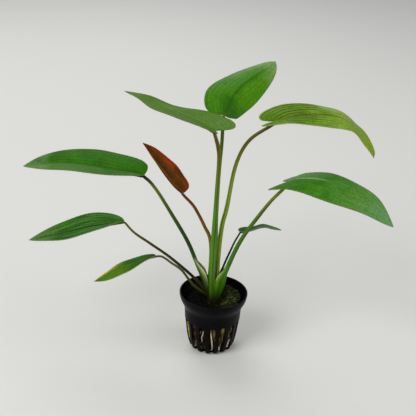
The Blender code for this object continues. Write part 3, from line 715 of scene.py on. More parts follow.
def stalk_skin(name, look, length):
    """The skin of a stalk, smooth and wet, coloured by a ramp from its base to the end of its midrib."""
    skin, tree, shader = new_material(name)
    along, around, beside, thinness, facing_line = (
        add_node(tree, "Attribute", {}, attribute_name=value).outputs["Fac"] for value in STALK_VALUES)
    place = add_node(tree, "TexCoord", {}).outputs["Object"]
    color = add_node(tree, "ValToRGB", {0: along}, stops=look["stops"]).outputs["Color"]

    # painted light: one side of a stalk takes a second colour, which on the upper left stalk lightens the
    # side that lies in shade
    side_color, side_start, side_end, side_amount = look["side"]
    side = add_node(tree, "MapRange", {"Value": beside, "From Min": side_start, "From Max": side_end,
                                       "To Max": side_amount}, interpolation_type="SMOOTHSTEP")
    color = add_node(tree, "Mix", {0: side.outputs[0], 6: color, 7: side_color}, data_type="RGBA").outputs[2]

    # streaks lie along the stalk, because the pattern is stretched in that direction
    streak_place = add_node(tree, "CombineXYZ", {})
    for axis, value, scale in (("X", around, STALK_STREAKS_ROUND), ("Y", along, length / (STALK_STREAK * MM)),
                               ("Z", beside, STALK_STREAKS_ROUND)):
        scaled = add_node(tree, "Math", {0: value, 1: scale}, operation="MULTIPLY")
        tree.links.new(scaled.outputs[0], streak_place.inputs[axis])
    streaks = add_node(tree, "TexNoise", {"Vector": streak_place.outputs[0], "Scale": 1.0, "Detail": 5.0})
    streaks = add_node(tree, "MapRange", {"Value": streaks.outputs["Fac"], "From Min": 0.44, "From Max": 0.58,
                                          "To Max": look["streak_amount"]})
    color = add_node(tree, "Mix", {0: streaks.outputs[0], 6: color, 7: look["streak"]}, data_type="RGBA")

    line_color, _, line_amount = look["line"]
    line = add_node(tree, "MapRange", {"Value": facing_line, "From Min": 0.95, "From Max": 0.985,
                                       "To Max": line_amount})
    color = add_node(tree, "Mix", {0: line.outputs[0], 6: color.outputs[2], 7: line_color}, data_type="RGBA")
    specks = add_node(tree, "TexNoise", {"Vector": place, "Scale": 1 / (SPECK_SIZE * MM), "Detail": 2.0})
    specks = add_node(tree, "MapRange", {"Value": specks.outputs["Fac"], "From Min": 0.6, "From Max": 0.68,
                                         "To Max": look["speck_amount"]})
    color = add_node(tree, "Mix", {0: specks.outputs[0], 6: color.outputs[2], 7: "2A2A0A"}, data_type="RGBA")

    # a sheath pales to its edges and ends in a cream margin, and low down it is darkened with painted shade
    # where it meets the wool
    # painted light: the back edge of a sheath has a colour of its own, and on the left stalk it is paler than
    # the front to stand in for light on a side that lies in shade
    to_front = add_node(tree, "MapRange", {"Value": beside, "From Min": -0.3, "From Max": 0.3})
    edge = add_node(tree, "Mix", {0: to_front.outputs[0], 6: look["back_edge_and_painted_light"], 7: look["edge"]},
                    data_type="RGBA")
    color = add_node(tree, "Mix", {0: thinness, 6: color.outputs[2], 7: edge.outputs[2]}, data_type="RGBA")
    margin = add_node(tree, "MapRange", {"Value": thinness, "From Min": 0.55, "From Max": 0.9, "To Max": 0.7})
    color = add_node(tree, "Mix", {0: margin.outputs[0], 6: color.outputs[2], 7: "C6CA8E"}, data_type="RGBA")
    # painted shade: darker towards the foot
    height = add_node(tree, "SeparateXYZ", {"Vector": place}).outputs["Z"]
    foot = add_node(tree, "MapRange", {"Value": height, "From Min": PAINTED_SHADE_FOOT[1] * MM,
                                       "From Max": PAINTED_SHADE_FOOT[0] * MM, "To Max": 1.0},
                    interpolation_type="SMOOTHSTEP")
    color = add_node(tree, "Mix", {0: foot.outputs[0], 6: color.outputs[2], 7: "1E2206"}, data_type="RGBA")
    tree.links.new(color.outputs[2], shader.inputs["Base Color"])

    bump = add_node(tree, "Bump", {"Height": streaks.outputs[0], "Strength": 0.3, "Distance": 0.1 * MM})
    tree.links.new(bump.outputs[0], shader.inputs["Normal"])
    shader.inputs["Roughness"].default_value = 0.34
    shader.inputs["Specular IOR Level"].default_value = 0.15
    return skin


# %% Stalks, their sheaths and the keels of the midribs
STALK_STEPS = 150
STALK_SIDES = 24
STALK_ROUTE_STEPS = 140
KEEL_LENGTH = 0.85  # share of the midrib that has a keel
KEEL_END = 0.12  # mm, the radius that the keel fades to
SHEATH_FOOT = 38  # mm above the ground
SHEATH_WRAP = 5.0  # mm, the radius that the sheaths wrap round

# side is a second colour on one side of a stalk, the shares between which it shades in round it, and its
# amount.
# On the upper left stalk it is painted light on the side that lies in shade
# line is a thin line's colour, the side it is on, in degrees to the right of the front, and its amount
STALK_LOOK = dict(streak="1F3A06", streak_amount=0.75, speck_amount=0.3, edge="5E7E1E", back_edge_and_painted_light="5E7E1E",
                  side=("6A6A14", 0.0, 0.8, 0.3), line=("2E2A08", 20, 0.3))
STALK_LOOKS = {
    "top": dict(STALK_LOOK, streak_amount=0.4, stops=(
        (0.0, "4A5410"), (0.08, "629A18"), (0.5, "6A921C"), (0.68, "5E6A12"), (1.0, "4A7A2A"))),
    "upper_left": dict(
        # its side colour is painted light on the side of the stalk that lies in shade
        STALK_LOOK, streak="2A4A0A", streak_amount=0.5, side=("6E9A2A", 0.6, 0.95, 0.6),
        line=("3A2E0A", 12, 0.6), stops=(
            (0.0, "4A5410"), (0.1, "4A8A10"), (0.4, "528E16"), (0.54, "6E7018"), (0.64, "7A501A"),
            (1.0, "9A8A5A"))),
    "upper_right": dict(
        STALK_LOOK, streak="6A7A10", streak_amount=0.5, side=("86A024", 0.0, 0.8, 0.3),
        line=("3E3A0C", -30, 0.55), stops=(
            (0.0, "4A5410"), (0.06, "8EB020"), (0.42, "8AA420"), (0.56, "6A5E14"), (0.63, "4A3410"),
            (0.7, "3A240C"), (1.0, "6A6A28"))),
    "left": dict(
        # the pale back edge F6F6D6 is painted light on a sheath edge that lies in shade
        STALK_LOOK, streak="16240A", edge="BAC67E", back_edge_and_painted_light="F6F6D6", side=("2E5A0E", 0.0, 0.8, 0.3),
        stops=(
            (0.0, "2E3A0E"), (0.08, "26500E"), (0.22, "264A0C"), (0.3, "30500E"), (0.42, "486A14"),
            (0.54, "7C8A22"), (0.6, "2A2A0C"), (1.0, "4A6A2E"))),
    "lower_left": dict(STALK_LOOK, streak="1C1A08", stops=(
        (0.0, "16220A"), (0.14, "222E0A"), (0.3, "2E360E"), (0.42, "4A3414"), (0.55, "847A26"),
        (0.62, "5E7E3A"), (1.0, "6A8A5A"))),
    "bottom_left": dict(STALK_LOOK, streak="1C1E08", stops=(
        (0.0, "16220A"), (0.14, "2A3A0C"), (0.32, "3E4412"), (0.5, "6A5A3C"), (1.0, "6A8A4E"))),
    "red": dict(STALK_LOOK, streak="4A220C", stops=(
        (0.0, "4A4410"), (0.15, "6E7E1A"), (0.36, "8A7E1C"), (0.5, "8A5616"), (0.62, "7C3816"),
        (0.75, "64280E"), (1.0, "7A4014"))),
    "right": dict(STALK_LOOK, streak_amount=0.5, edge="7A9A30", back_edge_and_painted_light="7A9A30", stops=(
        (0.0, "2E3A0E"), (0.1, "42860E"), (0.3, "3E7A12"), (0.42, "56761E"), (0.52, "76842A"),
        (0.62, "94903A"), (0.66, "5E5A16"), (1.0, "6A9A5A"))),
    "small_right": dict(STALK_LOOK, streak="0C0C04", stops=(
        (0.0, "1E1E0A"), (0.3, "101008"), (0.5, "2A160C"), (1.0, "3A5A2E"))),
}


def smooth_step(start, end, value):
    """Rises softly from 0 to 1 as a value goes from start to end."""
    f = min(max((value - start) / (end - start), 0), 1)
    return f * f * (3 - 2 * f)


def build_stalk(number, name, leaf):
    """A stalk with its sheath and its keel: one rod that is rolled up along two routes, joined end to end."""
    foot = Vector(leaf["stalk"][0])
    foot = (foot.x * 0.65, foot.y * 0.65, SHEATH_FOOT)
    stalk_points = (foot, *leaf["stalk"], leaf["midrib"][0])
    stalk_route, stalk_length = smooth_route(stalk_points, STALK_ROUTE_STEPS)
    rib_route, rib_length = smooth_route(leaf["midrib"], RIB_STEPS)
    keel = rib_length * KEEL_LENGTH
    whole = stalk_length + keel
    base_radius, top_radius = (r * MM for r in leaf["stalk_radius"])
    away = Vector((foot[0], foot[1], 0)).normalized()
    joint_up = blade_up(leaf, 0, *rib_place(leaf, rib_route, 0)[2:])
    line_turn = math.radians(STALK_LOOKS[name]["line"][1])
    line_side = Vector((math.sin(line_turn), -math.cos(line_turn), 0))
    start, full, front_width, back_width, at_foot = leaf["sheath"]

    def place(along, around):
        reach = along * whole
        turn = 2 * math.pi * around
        if reach < stalk_length:
            share = reach / stalk_length
            radius = base_radius + (top_radius - base_radius) * share ** 0.8
            middle, heading, outward, sideways = rod_frame(stalk_route, share, away)
            turned_in = smooth_step(0.82, 1.0, share)
            middle = middle - joint_up * (radius + BLADE_THICKNESS * MM * 0.6) * turned_in
        else:
            share = (reach - stalk_length) / rib_length
            middle, heading, side, above = rib_place(leaf, rib_route, share)
            above = blade_up(leaf, share, side, above)
            radius = top_radius * max(0.0, 1 - share / KEEL_LENGTH) ** 0.7 * 0.9 + KEEL_END * MM
            groove = RIB_GROOVE[0] * (1 - share)
            middle = middle - above * ((BLADE_THICKNESS * 0.6 + groove) * MM + radius * 0.8)
            outward = -above
            sideways = heading.cross(above)
        radius *= 1 + 0.05 * math.cos(6 * turn + number) + 0.03 * math.cos(11 * turn)
        radius *= 1 + 0.05 * noise.noise(Vector((reach * 60, number * 7.3, 0)))
        height = middle.z / MM
        broad = 1 - smooth_step(full, start, height)
        foot_share = smooth_step(SHEATH_FOOT + 8, SHEATH_FOOT + 27, height)
        to_front = math.sin(turn) * (1 if sideways.y < 0 else -1)
        width = (front_width if to_front > 0 else back_width) * MM * (at_foot + (1 - at_foot) * foot_share)
        wrap = SHEATH_WRAP * MM * (0.7 + 0.3 * foot_share)
        bend = math.sin(turn) * width / wrap
        depth = wrap + radius * 0.75 * math.cos(turn) * (1 - 0.6 * abs(math.sin(turn)))
        out = radius * math.cos(turn) * (1 - broad) + (depth * math.cos(bend) - wrap) * broad
        wide = radius * math.sin(turn) * (1 - broad) + depth * math.sin(bend) * broad
        thinness = broad ** 0.4 * smooth_step(0.5, 1.0, abs(math.sin(turn)))
        thinness *= smooth_step(SHEATH_FOOT + 13, full + 8, height)
        line_way = square_to(heading, line_side)
        facing_line = line_way.dot(outward) * math.cos(turn) + line_way.dot(sideways) * math.sin(turn)
        return (middle + outward * out + sideways * wide, along, math.cos(turn), math.sin(turn), thinness,
                facing_line)

    skin = stalk_skin(name + "_stem_skin", STALK_LOOKS[name], whole)
    rolled_piece(name + "_stem", name + "_stalk", skin, STALK_STEPS, STALK_SIDES, place, STALK_VALUES)


for number, (name, leaf) in enumerate(LEAVES.items()):
    build_stalk(number, name, leaf)
print("stalks:", len(LEAVES))

# %% [markdown]
# ## The crown
#
# The crown is the short stem that all the leaves grow from. The sheaths hide nearly all of it, so a plain
# rolled profile with a few soft ridges is enough. It only has to be dark and damp between them, and its
# near black colour is partly its own old tissue and partly painted shade under the sheaths.

# %% Crown, the short stem that the sheaths wrap
# radius at each height
CROWN_RADII = ((0.3, 50), (3.2, 49.4), (4.6, 47), (4.9, 44), (4.6, 41), (4.4, 38.6), (0.3, 38))
CROWN_RINGS = 40
CROWN_SIDES = 60
CROWN_MOTTLE = 3  # mm

# old stem tissue is brown, soft and slightly damp; its brown-black here is partly painted shade under the
# sheaths
crown_skin, tree, shader = new_material("crown_tissue")
place = add_node(tree, "TexCoord", {}).outputs["Object"]
mottle = add_node(tree, "TexNoise", {"Vector": place, "Scale": 1 / (CROWN_MOTTLE * MM), "Detail": 5.0})
color = add_node(tree, "ValToRGB", {0: mottle.outputs["Fac"]},
                 stops=((0.35, "0E1006"), (0.55, "20220A"), (0.7, "32300E")))
tree.links.new(color.outputs["Color"], shader.inputs["Base Color"])
bump = add_node(tree, "Bump", {"Height": mottle.outputs["Fac"], "Strength": 0.6, "Distance": 0.4 * MM})
tree.links.new(bump.outputs[0], shader.inputs["Normal"])
shader.inputs["Roughness"].default_value = 0.5

crown_route, _ = smooth_route([(r, 0, z) for r, z in CROWN_RADII], CROWN_RINGS)


def crown_place(along, around):
    """A place on the crown, which is a rolled profile with a few soft ridges round it."""
    profile = crown_route[round(along * CROWN_RINGS)]
    angle = 2 * math.pi * around
    radius = profile.x * (1 + 0.06 * math.cos(5 * angle) + 0.03 * math.cos(9 * angle + 1))
    return (Vector((radius * math.cos(angle), radius * math.sin(angle), profile.z)),)


rolled_piece("crown_stem", "crown", crown_skin, CROWN_RINGS, CROWN_SIDES, crown_place)
print("crown: 1")

# %% [markdown]
# ## The pot
#
# The pot is one thin moulding: a flared rim, a plain upper wall, and sixteen slots that run down the lower
# wall and curl in under the bottom edge. Sixteen cutters could be subtracted from a turned pot, but that
# leaves ragged cells round each slot. Here a tube is rolled from the outside profile with its cells laid
# out to suit the slots, the cells of the slots are taken out, and a wall thickness and a small rounding of
# its edges finish it.

# %% Pot
# radius and height
POT_OUTSIDE = ((27.5, 50), (27.4, 48.2), (26.9, 45.8), (26.1, 43.6), (25, 41.4), (23.9, 39.4), (23.2, 37),
               (22.9, 34), (22.6, 29), (22.2, 25.6), (21.2, 18), (20.4, 11.6), (19.2, 6), (17.6, 1.6),
               (15.2, 0), (13.6, 0), (0.01, 0))
POT_WALL = 1.2  # mm
POT_STEP = 1.6  # mm, the longest step down the profile
POT_GRAIN = 0.5  # mm, the fine texture of the mould
POT_DUST = 9  # mm, the clouds of dried film on it
SLOT_COUNT = 16
SLOT_TOP = 28  # mm above the ground
SLOT_INNER_RADIUS = 13.6  # mm, where the slots end under the pot
SLOT_SPAN = 13.0  # degrees
SLOT_OFFSET = 1.7  # degrees from the front to the middle of the nearest slot
SLOT_CELLS = 6
RIB_CELLS = 4
SLOT_ROUNDING = 1.1  # mm that the corners of a slot's top drop
SLOT_ROUNDING_REACH = 5  # mm above and below the top of the slots

# polypropylene, injection moulded: deep black, with a soft gloss that a fine mould texture breaks up
pot_plastic, tree, shader = new_material("black_polypropylene")
place = add_node(tree, "TexCoord", {}).outputs["Object"]
grain = add_node(tree, "TexNoise", {"Vector": place, "Scale": 1 / (POT_GRAIN * MM), "Detail": 3.0})
dust = add_node(tree, "TexNoise", {"Vector": place, "Scale": 1 / (POT_DUST * MM), "Detail": 4.0})
color = add_node(tree, "ValToRGB", {0: dust.outputs["Fac"]}, stops=((0.35, "070708"), (0.7, "0C0C10")))
tree.links.new(color.outputs["Color"], shader.inputs["Base Color"])
gloss = add_node(tree, "MapRange", {"Value": dust.outputs["Fac"], "To Min": 0.3, "To Max": 0.46})
tree.links.new(gloss.outputs[0], shader.inputs["Roughness"])
bump = add_node(tree, "Bump", {"Height": grain.outputs["Fac"], "Strength": 0.12, "Distance": 0.05 * MM})
tree.links.new(bump.outputs[0], shader.inputs["Normal"])
shader.inputs["Specular IOR Level"].default_value = 0.045


def profile_rows(points, longest):
    """Splits the straight runs of a profile so that no step of it is longer than a length."""
    rows = [Vector(points[0])]
    for end in points[1:]:
        start, end = rows[-1], Vector(end)
        steps = max(1, math.ceil((end - start).length / longest))
        rows += [start.lerp(end, (i + 1) / steps) for i in range(steps)]
    return rows


pot_rows = profile_rows(POT_OUTSIDE, POT_STEP)
sector_cells = SLOT_CELLS + RIB_CELLS
sector_span = 360 / SLOT_COUNT


def pot_angle(cell):
    """The compass angle of a column of cells, and its place in the slot, -1 to 1, or past that on a rib."""
    sector, k = divmod(cell, sector_cells)
    if k <= SLOT_CELLS:
        local, across = SLOT_SPAN * (k / SLOT_CELLS - 0.5), 2 * k / SLOT_CELLS - 1
    else:
        local, across = SLOT_SPAN / 2 + (sector_span - SLOT_SPAN) * (k - SLOT_CELLS) / RIB_CELLS, 1.0
    return math.radians(-90 + SLOT_OFFSET + sector * sector_span + local), across


def pot_place(along, around):
    """A place on the outside of the pot. The rows of cells dip at the corners of the slots to round them."""
    radius, height = pot_rows[round(along * (len(pot_rows) - 1))]
    angle, across = pot_angle(round(around * SLOT_COUNT * sector_cells))
    near_top = max(0, 1 - abs(height - SLOT_TOP) / SLOT_ROUNDING_REACH)
    height -= SLOT_ROUNDING * abs(across) ** 4 * near_top
    return (Vector((radius * math.cos(angle), radius * math.sin(angle), height)) * MM,)


form = bmesh.new()
roll_up(form, len(pot_rows) - 1, SLOT_COUNT * sector_cells, pot_place)
slot_faces = []
for face in form.faces:
    middle = face.calc_center_median()
    turned = math.degrees(math.atan2(middle.y, middle.x)) + 90 - SLOT_OFFSET + SLOT_SPAN / 2
    turned %= sector_span
    out = math.hypot(middle.x, middle.y) / MM
    if turned < SLOT_SPAN and middle.z < (SLOT_TOP - 0.2) * MM and out > SLOT_INNER_RADIUS:
        slot_faces.append(face)
bmesh.ops.delete(form, geom=slot_faces, context="FACES")
bmesh.ops.recalc_face_normals(form, faces=form.faces)
pot = finish_piece(form, "net_pot", [pot_plastic], "pot")
wall = pot.modifiers.new("wall", "SOLIDIFY")
wall.thickness = POT_WALL * MM
wall.offset = -1
wall.use_even_offset = True
edges = pot.modifiers.new("rounded_edges", "BEVEL")
edges.width = 0.25 * MM
edges.segments = 3
edges.limit_method = "ANGLE"
edges.angle_limit = math.radians(50)
edges.harden_normals = True
print("slots cut:", SLOT_COUNT, "from", len(slot_faces), "cells")

# %% [markdown]
# ## Rock wool
#
# The plant grows in a plug of rock wool, which is matted mineral fibre. Wet and overgrown with algae it is
# nearly black on top and olive behind the slots. The plug is a rolled profile whose surface is pushed in
# and out by noise in the mesh itself, because its lumps show against the inside of the rim and in the slots.

# %% Rock wool plug
PLUG_TOP = ((0.01, 40.6), (6.2, 40.9), (9.5, 42.4), (13.5, 44.2), (20, 44.4), (22.2, 43.4))
PLUG_SIDE = ((22, 41), (21.4, 37.8), (20.8, 29.8), (20.1, 26.5), (19.5, 18), (18.2, 10), (16.8, 5),
             (14.6, 2.6))
PLUG_OUTSIDE = (*PLUG_TOP, *PLUG_SIDE, (12.5, 1.9), (0.01, 1.9))
PLUG_CELLS = 180
PLUG_STEP = 0.8  # mm, the longest step down the profile
TOP_RISE = (0.11, 0.08)  # how much the top climbs to the right and to the back
WOOL_GRAIN = 1.1  # mm
WOOL_CLUMP = 5  # mm
# compass angle from +X and height of each patch, how wide and high it is, in degrees and mm, and its strength
ALGAE_PATCHES = (
    (-157, 19, 12, 14, 1.0), (-131, 21, 5, 8, 0.3), (-84, 22, 4, 7, 0.6), (-62, 24, 4.5, 5, 0.9),
    (-66, 15, 6, 5, 0.4), (-46, 18, 3.5, 10, 0.9), (-20, 20, 9, 10, 0.5), (30, 18, 20, 9, 0.5),
    (95, 16, 24, 8, 0.6), (160, 20, 18, 9, 0.5),
)
BULGE = (1.9, -156, 6)  # mm that the wool swells into the slot on the left, its compass angle and half span

# spun mineral fibre, soaked: it has no gloss of its own, and its colour is that of the film on it
wool, tree, shader = new_material("rock_wool")
place = add_node(tree, "TexCoord", {}).outputs["Object"]
parts = add_node(tree, "SeparateXYZ", {"Vector": place})
fine = add_node(tree, "TexNoise", {"Vector": place, "Scale": 1 / (WOOL_GRAIN * MM), "Detail": 6.0,
                                   "Roughness": 0.7})
clumps = add_node(tree, "TexNoise", {"Vector": place, "Scale": 1 / (WOOL_CLUMP * MM), "Detail": 4.0})

# the top is darker on the left, painted shade that is added to the fine grain
painted_shade_left = add_node(tree, "MapRange", {"Value": parts.outputs["X"], "From Min": -8 * MM, "From Max": 8 * MM,
                                       "To Min": -0.1, "To Max": 0.06})
grain_and_painted_shade = add_node(tree, "Math", {0: fine.outputs["Fac"], 1: painted_shade_left.outputs[0]}, operation="ADD")
top_color = add_node(tree, "ValToRGB", {0: grain_and_painted_shade.outputs[0]},
                     stops=((0.42, "020201"), (0.56, "0E1005"), (0.72, "3C461A")))

# the side goes from bare brown fibre to yellow-green algae
algae = add_node(tree, "Attribute", {}, attribute_name="algae")
matted = add_node(tree, "MapRange", {"Value": clumps.outputs["Fac"], "To Min": -0.35, "To Max": 0.35})
algae = add_node(tree, "Math", {0: algae.outputs["Fac"], 1: matted.outputs[0]}, operation="ADD")
side_color = add_node(tree, "ValToRGB", {0: algae.outputs[0]},
                      stops=((0.0, "0E0806"), (0.3, "382410"), (0.55, "6E6228"), (0.9, "AEAC56")))
top_share = add_node(tree, "MapRange", {"Value": parts.outputs["Z"], "From Min": 27 * MM,
                                        "From Max": 36 * MM})
color = add_node(tree, "Mix", {0: top_share.outputs[0], 6: side_color.outputs["Color"],
                               7: top_color.outputs["Color"]}, data_type="RGBA")
tree.links.new(color.outputs[2], shader.inputs["Base Color"])
bump = add_node(tree, "Bump", {"Height": fine.outputs["Fac"], "Strength": 0.9, "Distance": 0.5 * MM})
tree.links.new(bump.outputs[0], shader.inputs["Normal"])
shader.inputs["Roughness"].default_value = 0.8
shader.inputs["Specular IOR Level"].default_value = 0.05

plug_rows = profile_rows(PLUG_OUTSIDE, PLUG_STEP)


def plug_surface(radius, height, angle):
    """A place on the lumpy surface of the plug, in metres."""
    at = Vector((radius * math.cos(angle), radius * math.sin(angle), height))
    on_top = smooth_step(34, 40, height)
    lump = noise.noise(at * 0.22) * 0.7 + noise.noise(at * 0.7) * 0.45 + noise.noise(at * 2.1) * 0.2 - 0.5
    lump += on_top * (noise.noise(at * 0.45 + Vector((9, 3, 1))) * 1.1 + noise.noise(at * 1.1) * 0.5)
    at.z += on_top * (at.x * TOP_RISE[0] + at.y * TOP_RISE[1])
    inward = Vector((at.x, at.y, max(0, height - 30) * 1.6)).normalized()
    return (at + inward * (lump + bulge_at(angle, height))) * MM


def side_radius(height):
    """How far the even side of the plug is from the pot's axis at a height."""
    for (outer, high), (inner, low) in zip(PLUG_SIDE, PLUG_SIDE[1:]):
        if height >= low:
            return inner + (outer - inner) * (height - low) / (high - low)
    return PLUG_SIDE[-1][0]


def bulge_at(angle, height):
    """How far the wool swells into the slot on the left, in mm."""
    depth, middle, half_span = BULGE
    off = (math.degrees(angle) - middle + 180) % 360 - 180
    return depth * math.exp(-(off / half_span) ** 4) * smooth_step(3, 9, height) * smooth_step(29, 24, height)


def algae_at(angle, height):
    """How much algae grows on the side of the plug, from 0, bare and brown, to 1. The angle is in radians."""
    amount = 0.16 + 0.35 * noise.noise(Vector((math.cos(angle), math.sin(angle), height * 0.05)) * 4)
    for patch_angle, patch_height, wide, high, strength in ALGAE_PATCHES:
        off = (math.degrees(angle) - patch_angle + 180) % 360 - 180
        amount += strength * math.exp(-(off / wide) ** 2 - ((height - patch_height) / high) ** 2)
    return min(max(amount, 0), 1)


def top_height(radius):
    """How high the even top of the plug is at a distance from the pot's axis."""
    for (inner, low), (outer, high) in zip(PLUG_TOP, PLUG_TOP[1:]):
        if radius <= outer:
            return low + (high - low) * (radius - inner) / (outer - inner)
    return PLUG_TOP[-1][1]


def plug_place(along, around):
    """A place on the plug, and how much algae grows there."""
    radius, height = plug_rows[round(along * (len(plug_rows) - 1))]
    angle = 2 * math.pi * around
    return plug_surface(radius, height, angle), algae_at(angle, height)


form = bmesh.new()
roll_up(form, len(plug_rows) - 1, PLUG_CELLS, plug_place, (form.verts.layers.float.new("algae"),))
bmesh.ops.recalc_face_normals(form, faces=form.faces)
finish_piece(form, "rock_wool_plug", [wool], "growing_medium")
print("rock wool:", len(plug_rows) * PLUG_CELLS, "corners")

# %% [markdown]
# ## Loose fibres
#
# Loose ends of the fibre lie on the plug and behind the slots. Hair would draw them faster, but hair isn't
# a mesh and doesn't travel with the model. So each fibre is a bent three-sided thread of nine faces, and a
# value on it picks its colour from one ramp, dark and damp at one end, dry and yellow-green at the other.

# %% Loose fibres of the rock wool
FIBRES_ON_TOP = 1800
FIBRES_BEHIND_SLOTS = 1300
FIBRE_STEPS = 3
FIBRE_SIDES = 3
BATCH_SIZE = 40
WOOL_EDGE = 22  # mm from the axis, past which no fibre reaches
SLOT_WOOL = (3.4, 26.8)  # mm above the ground, between which fibres lie behind the slots
chance = random.Random(7)


def add_thread(form, route, thickness, sides, tone_layer, tone):
    """Adds a thin bent thread that tapers to its ends. tone is a value that its colour is taken from."""
    def place(along, around):
        middle, heading, outward, sideways = rod_frame(route, along, reference)
        angle = 2 * math.pi * around
        radius = thickness * (1 - 0.6 * abs(2 * along - 1) ** 3)
        return middle + (outward * math.cos(angle) + sideways * math.sin(angle)) * radius, tone

    reference = (route[-1] - route[0]).orthogonal()
    roll_up(form, len(route) - 1, sides, place, (tone_layer,))


def thread_material(name, stops, roughness):
    """A material that takes its colour from the tone of each thread."""
    made, tree, shader = new_material(name)
    tone = add_node(tree, "Attribute", {}, attribute_name="tone").outputs["Fac"]
    color = add_node(tree, "ValToRGB", {0: tone}, stops=stops)
    tree.links.new(color.outputs["Color"], shader.inputs["Base Color"])
    shader.inputs["Roughness"].default_value = roughness
    shader.inputs["Specular IOR Level"].default_value = 0.1
    return made


def build_threads(name, threads, finish):
    """Makes one piece of many threads, in small batches, because the operators slow down on a large form."""
    whole = bmesh.new()
    batch_mesh = bpy.data.meshes.new(name + "_batch")
    for first in range(0, len(threads), BATCH_SIZE):
        batch = bmesh.new()
        tone_layer = batch.verts.layers.float.new("tone")
        for route, thickness, sides, tone in threads[first:first + BATCH_SIZE]:
            add_thread(batch, route, thickness, sides, tone_layer, tone)
        bmesh.ops.recalc_face_normals(batch, faces=batch.faces)
        batch.to_mesh(batch_mesh)
        batch.free()
        whole.from_mesh(batch_mesh)
    bpy.data.meshes.remove(batch_mesh)
    finish_piece(whole, name, [finish])


threads = []
for i in range(FIBRES_ON_TOP):
    angle = chance.uniform(0, 2 * math.pi)
    radius = 21.6 * math.sqrt(chance.uniform(0.06, 1))
    turn = chance.uniform(0, 2 * math.pi)
    reach = chance.uniform(1.2, 4.5)
    bend = chance.uniform(-0.8, 0.8)
    route = []
    for k in range(FIBRE_STEPS + 1):
        heading = turn + bend * k
        x = radius * math.cos(angle) + reach * k / FIBRE_STEPS * math.cos(heading)
        y = radius * math.sin(angle) + reach * k / FIBRE_STEPS * math.sin(heading)
        out = min(math.hypot(x, y), WOOL_EDGE)
        on_top = plug_surface(out, top_height(out), math.atan2(y, x))
        route.append(on_top + Vector((0, 0, chance.uniform(-0.1, 0.5))) * MM)
    # painted shade: fibres on the left of the top are darker
    shade = 0.25 + 0.75 * smooth_step(-6, 10, route[0].x / MM)
    thickness = chance.uniform(0.07, 0.22) * MM
    threads.append((route, thickness, FIBRE_SIDES, chance.betavariate(1.1, 2.2) * shade))
top_fibre = thread_material(
    "rock_wool_fibre_top", ((0.0, "020201"), (0.3, "141808"), (0.6, "444E1E"), (1.0, "929E56")), 0.6)
build_threads("fibres_on_top", threads, top_fibre)

threads = []
for i in range(FIBRES_BEHIND_SLOTS):
    height = chance.uniform(3.5, 26.5)
    angle = chance.uniform(0, 2 * math.pi)
    turn = chance.gauss(math.pi / 2, 0.9)
    reach = chance.uniform(1, 4)
    bend = chance.uniform(-0.7, 0.7)
    route = []
    for k in range(FIBRE_STEPS + 1):
        heading = turn + bend * k
        z = min(max(height + reach * k / FIBRE_STEPS * math.sin(heading), SLOT_WOOL[0]), SLOT_WOOL[1])
        radius = side_radius(z)
        route.append(plug_surface(radius + 0.1 + chance.uniform(-0.1, 0.2), z,
                                  angle + reach * k / FIBRE_STEPS * math.cos(heading) / radius))
    tone = algae_at(angle, height) * chance.uniform(0.6, 1.2)
    threads.append((route, chance.uniform(0.06, 0.15) * MM, FIBRE_SIDES, tone))
side_fibre = thread_material(
    "rock_wool_fibre_side", ((0.0, "120A06"), (0.3, "46301A"), (0.55, "80742E"), (0.9, "C4C26A")), 0.6)
build_threads("fibres_behind_slots", threads, side_fibre)
print("fibres:", FIBRES_ON_TOP + FIBRES_BEHIND_SLOTS)

# %% [markdown]
# ## Roots
#
# Pale roots press against the pot and show in the slots. The four that can be told apart follow measured
# routes, and their thickness wavers, because an even tube would look like a wire. Sixty fine ones are
# scattered by chance over the side of the plug, with a fixed seed so that every run gives the same plant.

# %% Roots
# each one: compass angle from the front, radius, and a path of height, distance from the axis and shift
ROOTS = {
    "front": (-89, 0.52, ((26, 20.2, -2.5), (20, 20.1, -2), (12, 19.0, 1), (6, 17.5, 3), (3, 15.9, -1.5))),
    "front_left": (-111, 0.42, ((23.5, 20, 2), (21, 19.8, 1), (17, 19.6, -2), (12, 18.6, -2))),
    "front_right": (-66, 0.65, ((8, 17.8, -3), (5, 16.6, -1), (3, 15.6, 1))),
    "right": (-43, 0.65, ((13, 18.9, 3), (8, 18.1, 0), (4, 16.7, -3))),
}
ROOT_STEPS = 40
ROOT_SIDES = 14
ROOT_STAIN = 2.2  # mm
FINE_ROOTS = 60
FINE_ROOT_BENDS = 5
FINE_ROOT_STEPS = 16
FINE_ROOT_SIDES = 6

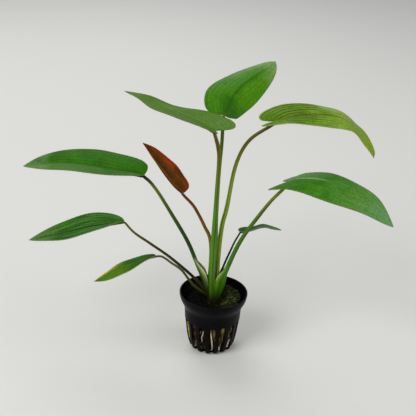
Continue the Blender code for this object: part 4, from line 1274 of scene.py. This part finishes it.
# living root is pale, smooth and slightly wet, and the wool stains it brown in places
root_skin, tree, shader = new_material("root_skin")
place = add_node(tree, "TexCoord", {}).outputs["Object"]
stain = add_node(tree, "TexNoise", {"Vector": place, "Scale": 1 / (ROOT_STAIN * MM), "Detail": 4.0})
color = add_node(tree, "ValToRGB", {0: stain.outputs["Fac"]},
                 stops=((0.35, "A88A64"), (0.5, "D8C8B4"), (0.7, "EADFD2")))
tree.links.new(color.outputs["Color"], shader.inputs["Base Color"])
shader.inputs["Roughness"].default_value = 0.45


def root_point(angle, height, out, shift):
    """A point of a root's path, in mm."""
    turned = math.radians(angle + shift)
    return Vector((out * math.cos(turned), out * math.sin(turned), height))


for name, (angle, radius, path) in ROOTS.items():
    route, _ = smooth_route([root_point(angle, *p) for p in path], ROOT_STEPS)
    axis = (route[-1] - route[0]).orthogonal()

    def place_on_root(along, around):
        middle, heading, outward, sideways = rod_frame(route, along, axis)
        turn = 2 * math.pi * around
        wobble = Vector((along * 9, radius * 30, 0))
        thick = radius * MM * (1 + 0.22 * noise.noise(wobble) + 0.1 * noise.noise(wobble * 4))
        thick *= min(1, 6 * along + 0.15, 6 * (1 - along) + 0.15)
        aside = sideways * noise.noise(wobble + Vector((5, 2, 7))) * 0.5 * MM
        return (middle + aside + (outward * math.cos(turn) + sideways * math.sin(turn)) * thick,)

    rolled_piece(name + "_root", "root_" + name, root_skin, ROOT_STEPS, ROOT_SIDES, place_on_root)

threads = []
for i in range(FINE_ROOTS):
    angle = chance.uniform(0, 360)
    height = chance.uniform(6, 26)
    reach = chance.uniform(5, 14)
    drift = chance.uniform(-5, 5)
    points = []
    for k in range(FINE_ROOT_BENDS + 1):
        z = max(height - reach * k / FINE_ROOT_BENDS, 2.8)
        points.append(root_point(angle, z, side_radius(z) - 0.1 + chance.uniform(-0.2, 0.3),
                                 drift * k / FINE_ROOT_BENDS + chance.uniform(-1.5, 1.5)))
    route, _ = smooth_route(points, FINE_ROOT_STEPS)
    threads.append((route, chance.uniform(0.12, 0.26) * MM, FINE_ROOT_SIDES, chance.random()))
fine_root = thread_material(
    "fine_root", ((0.0, "8A5A34"), (0.3, "B89A6A"), (0.7, "D4C4A4"), (1.0, "E8DCCC")), 0.5)
build_threads("fine_roots", threads, fine_root)
print("roots:", len(ROOTS), "and", FINE_ROOTS, "fine ones")
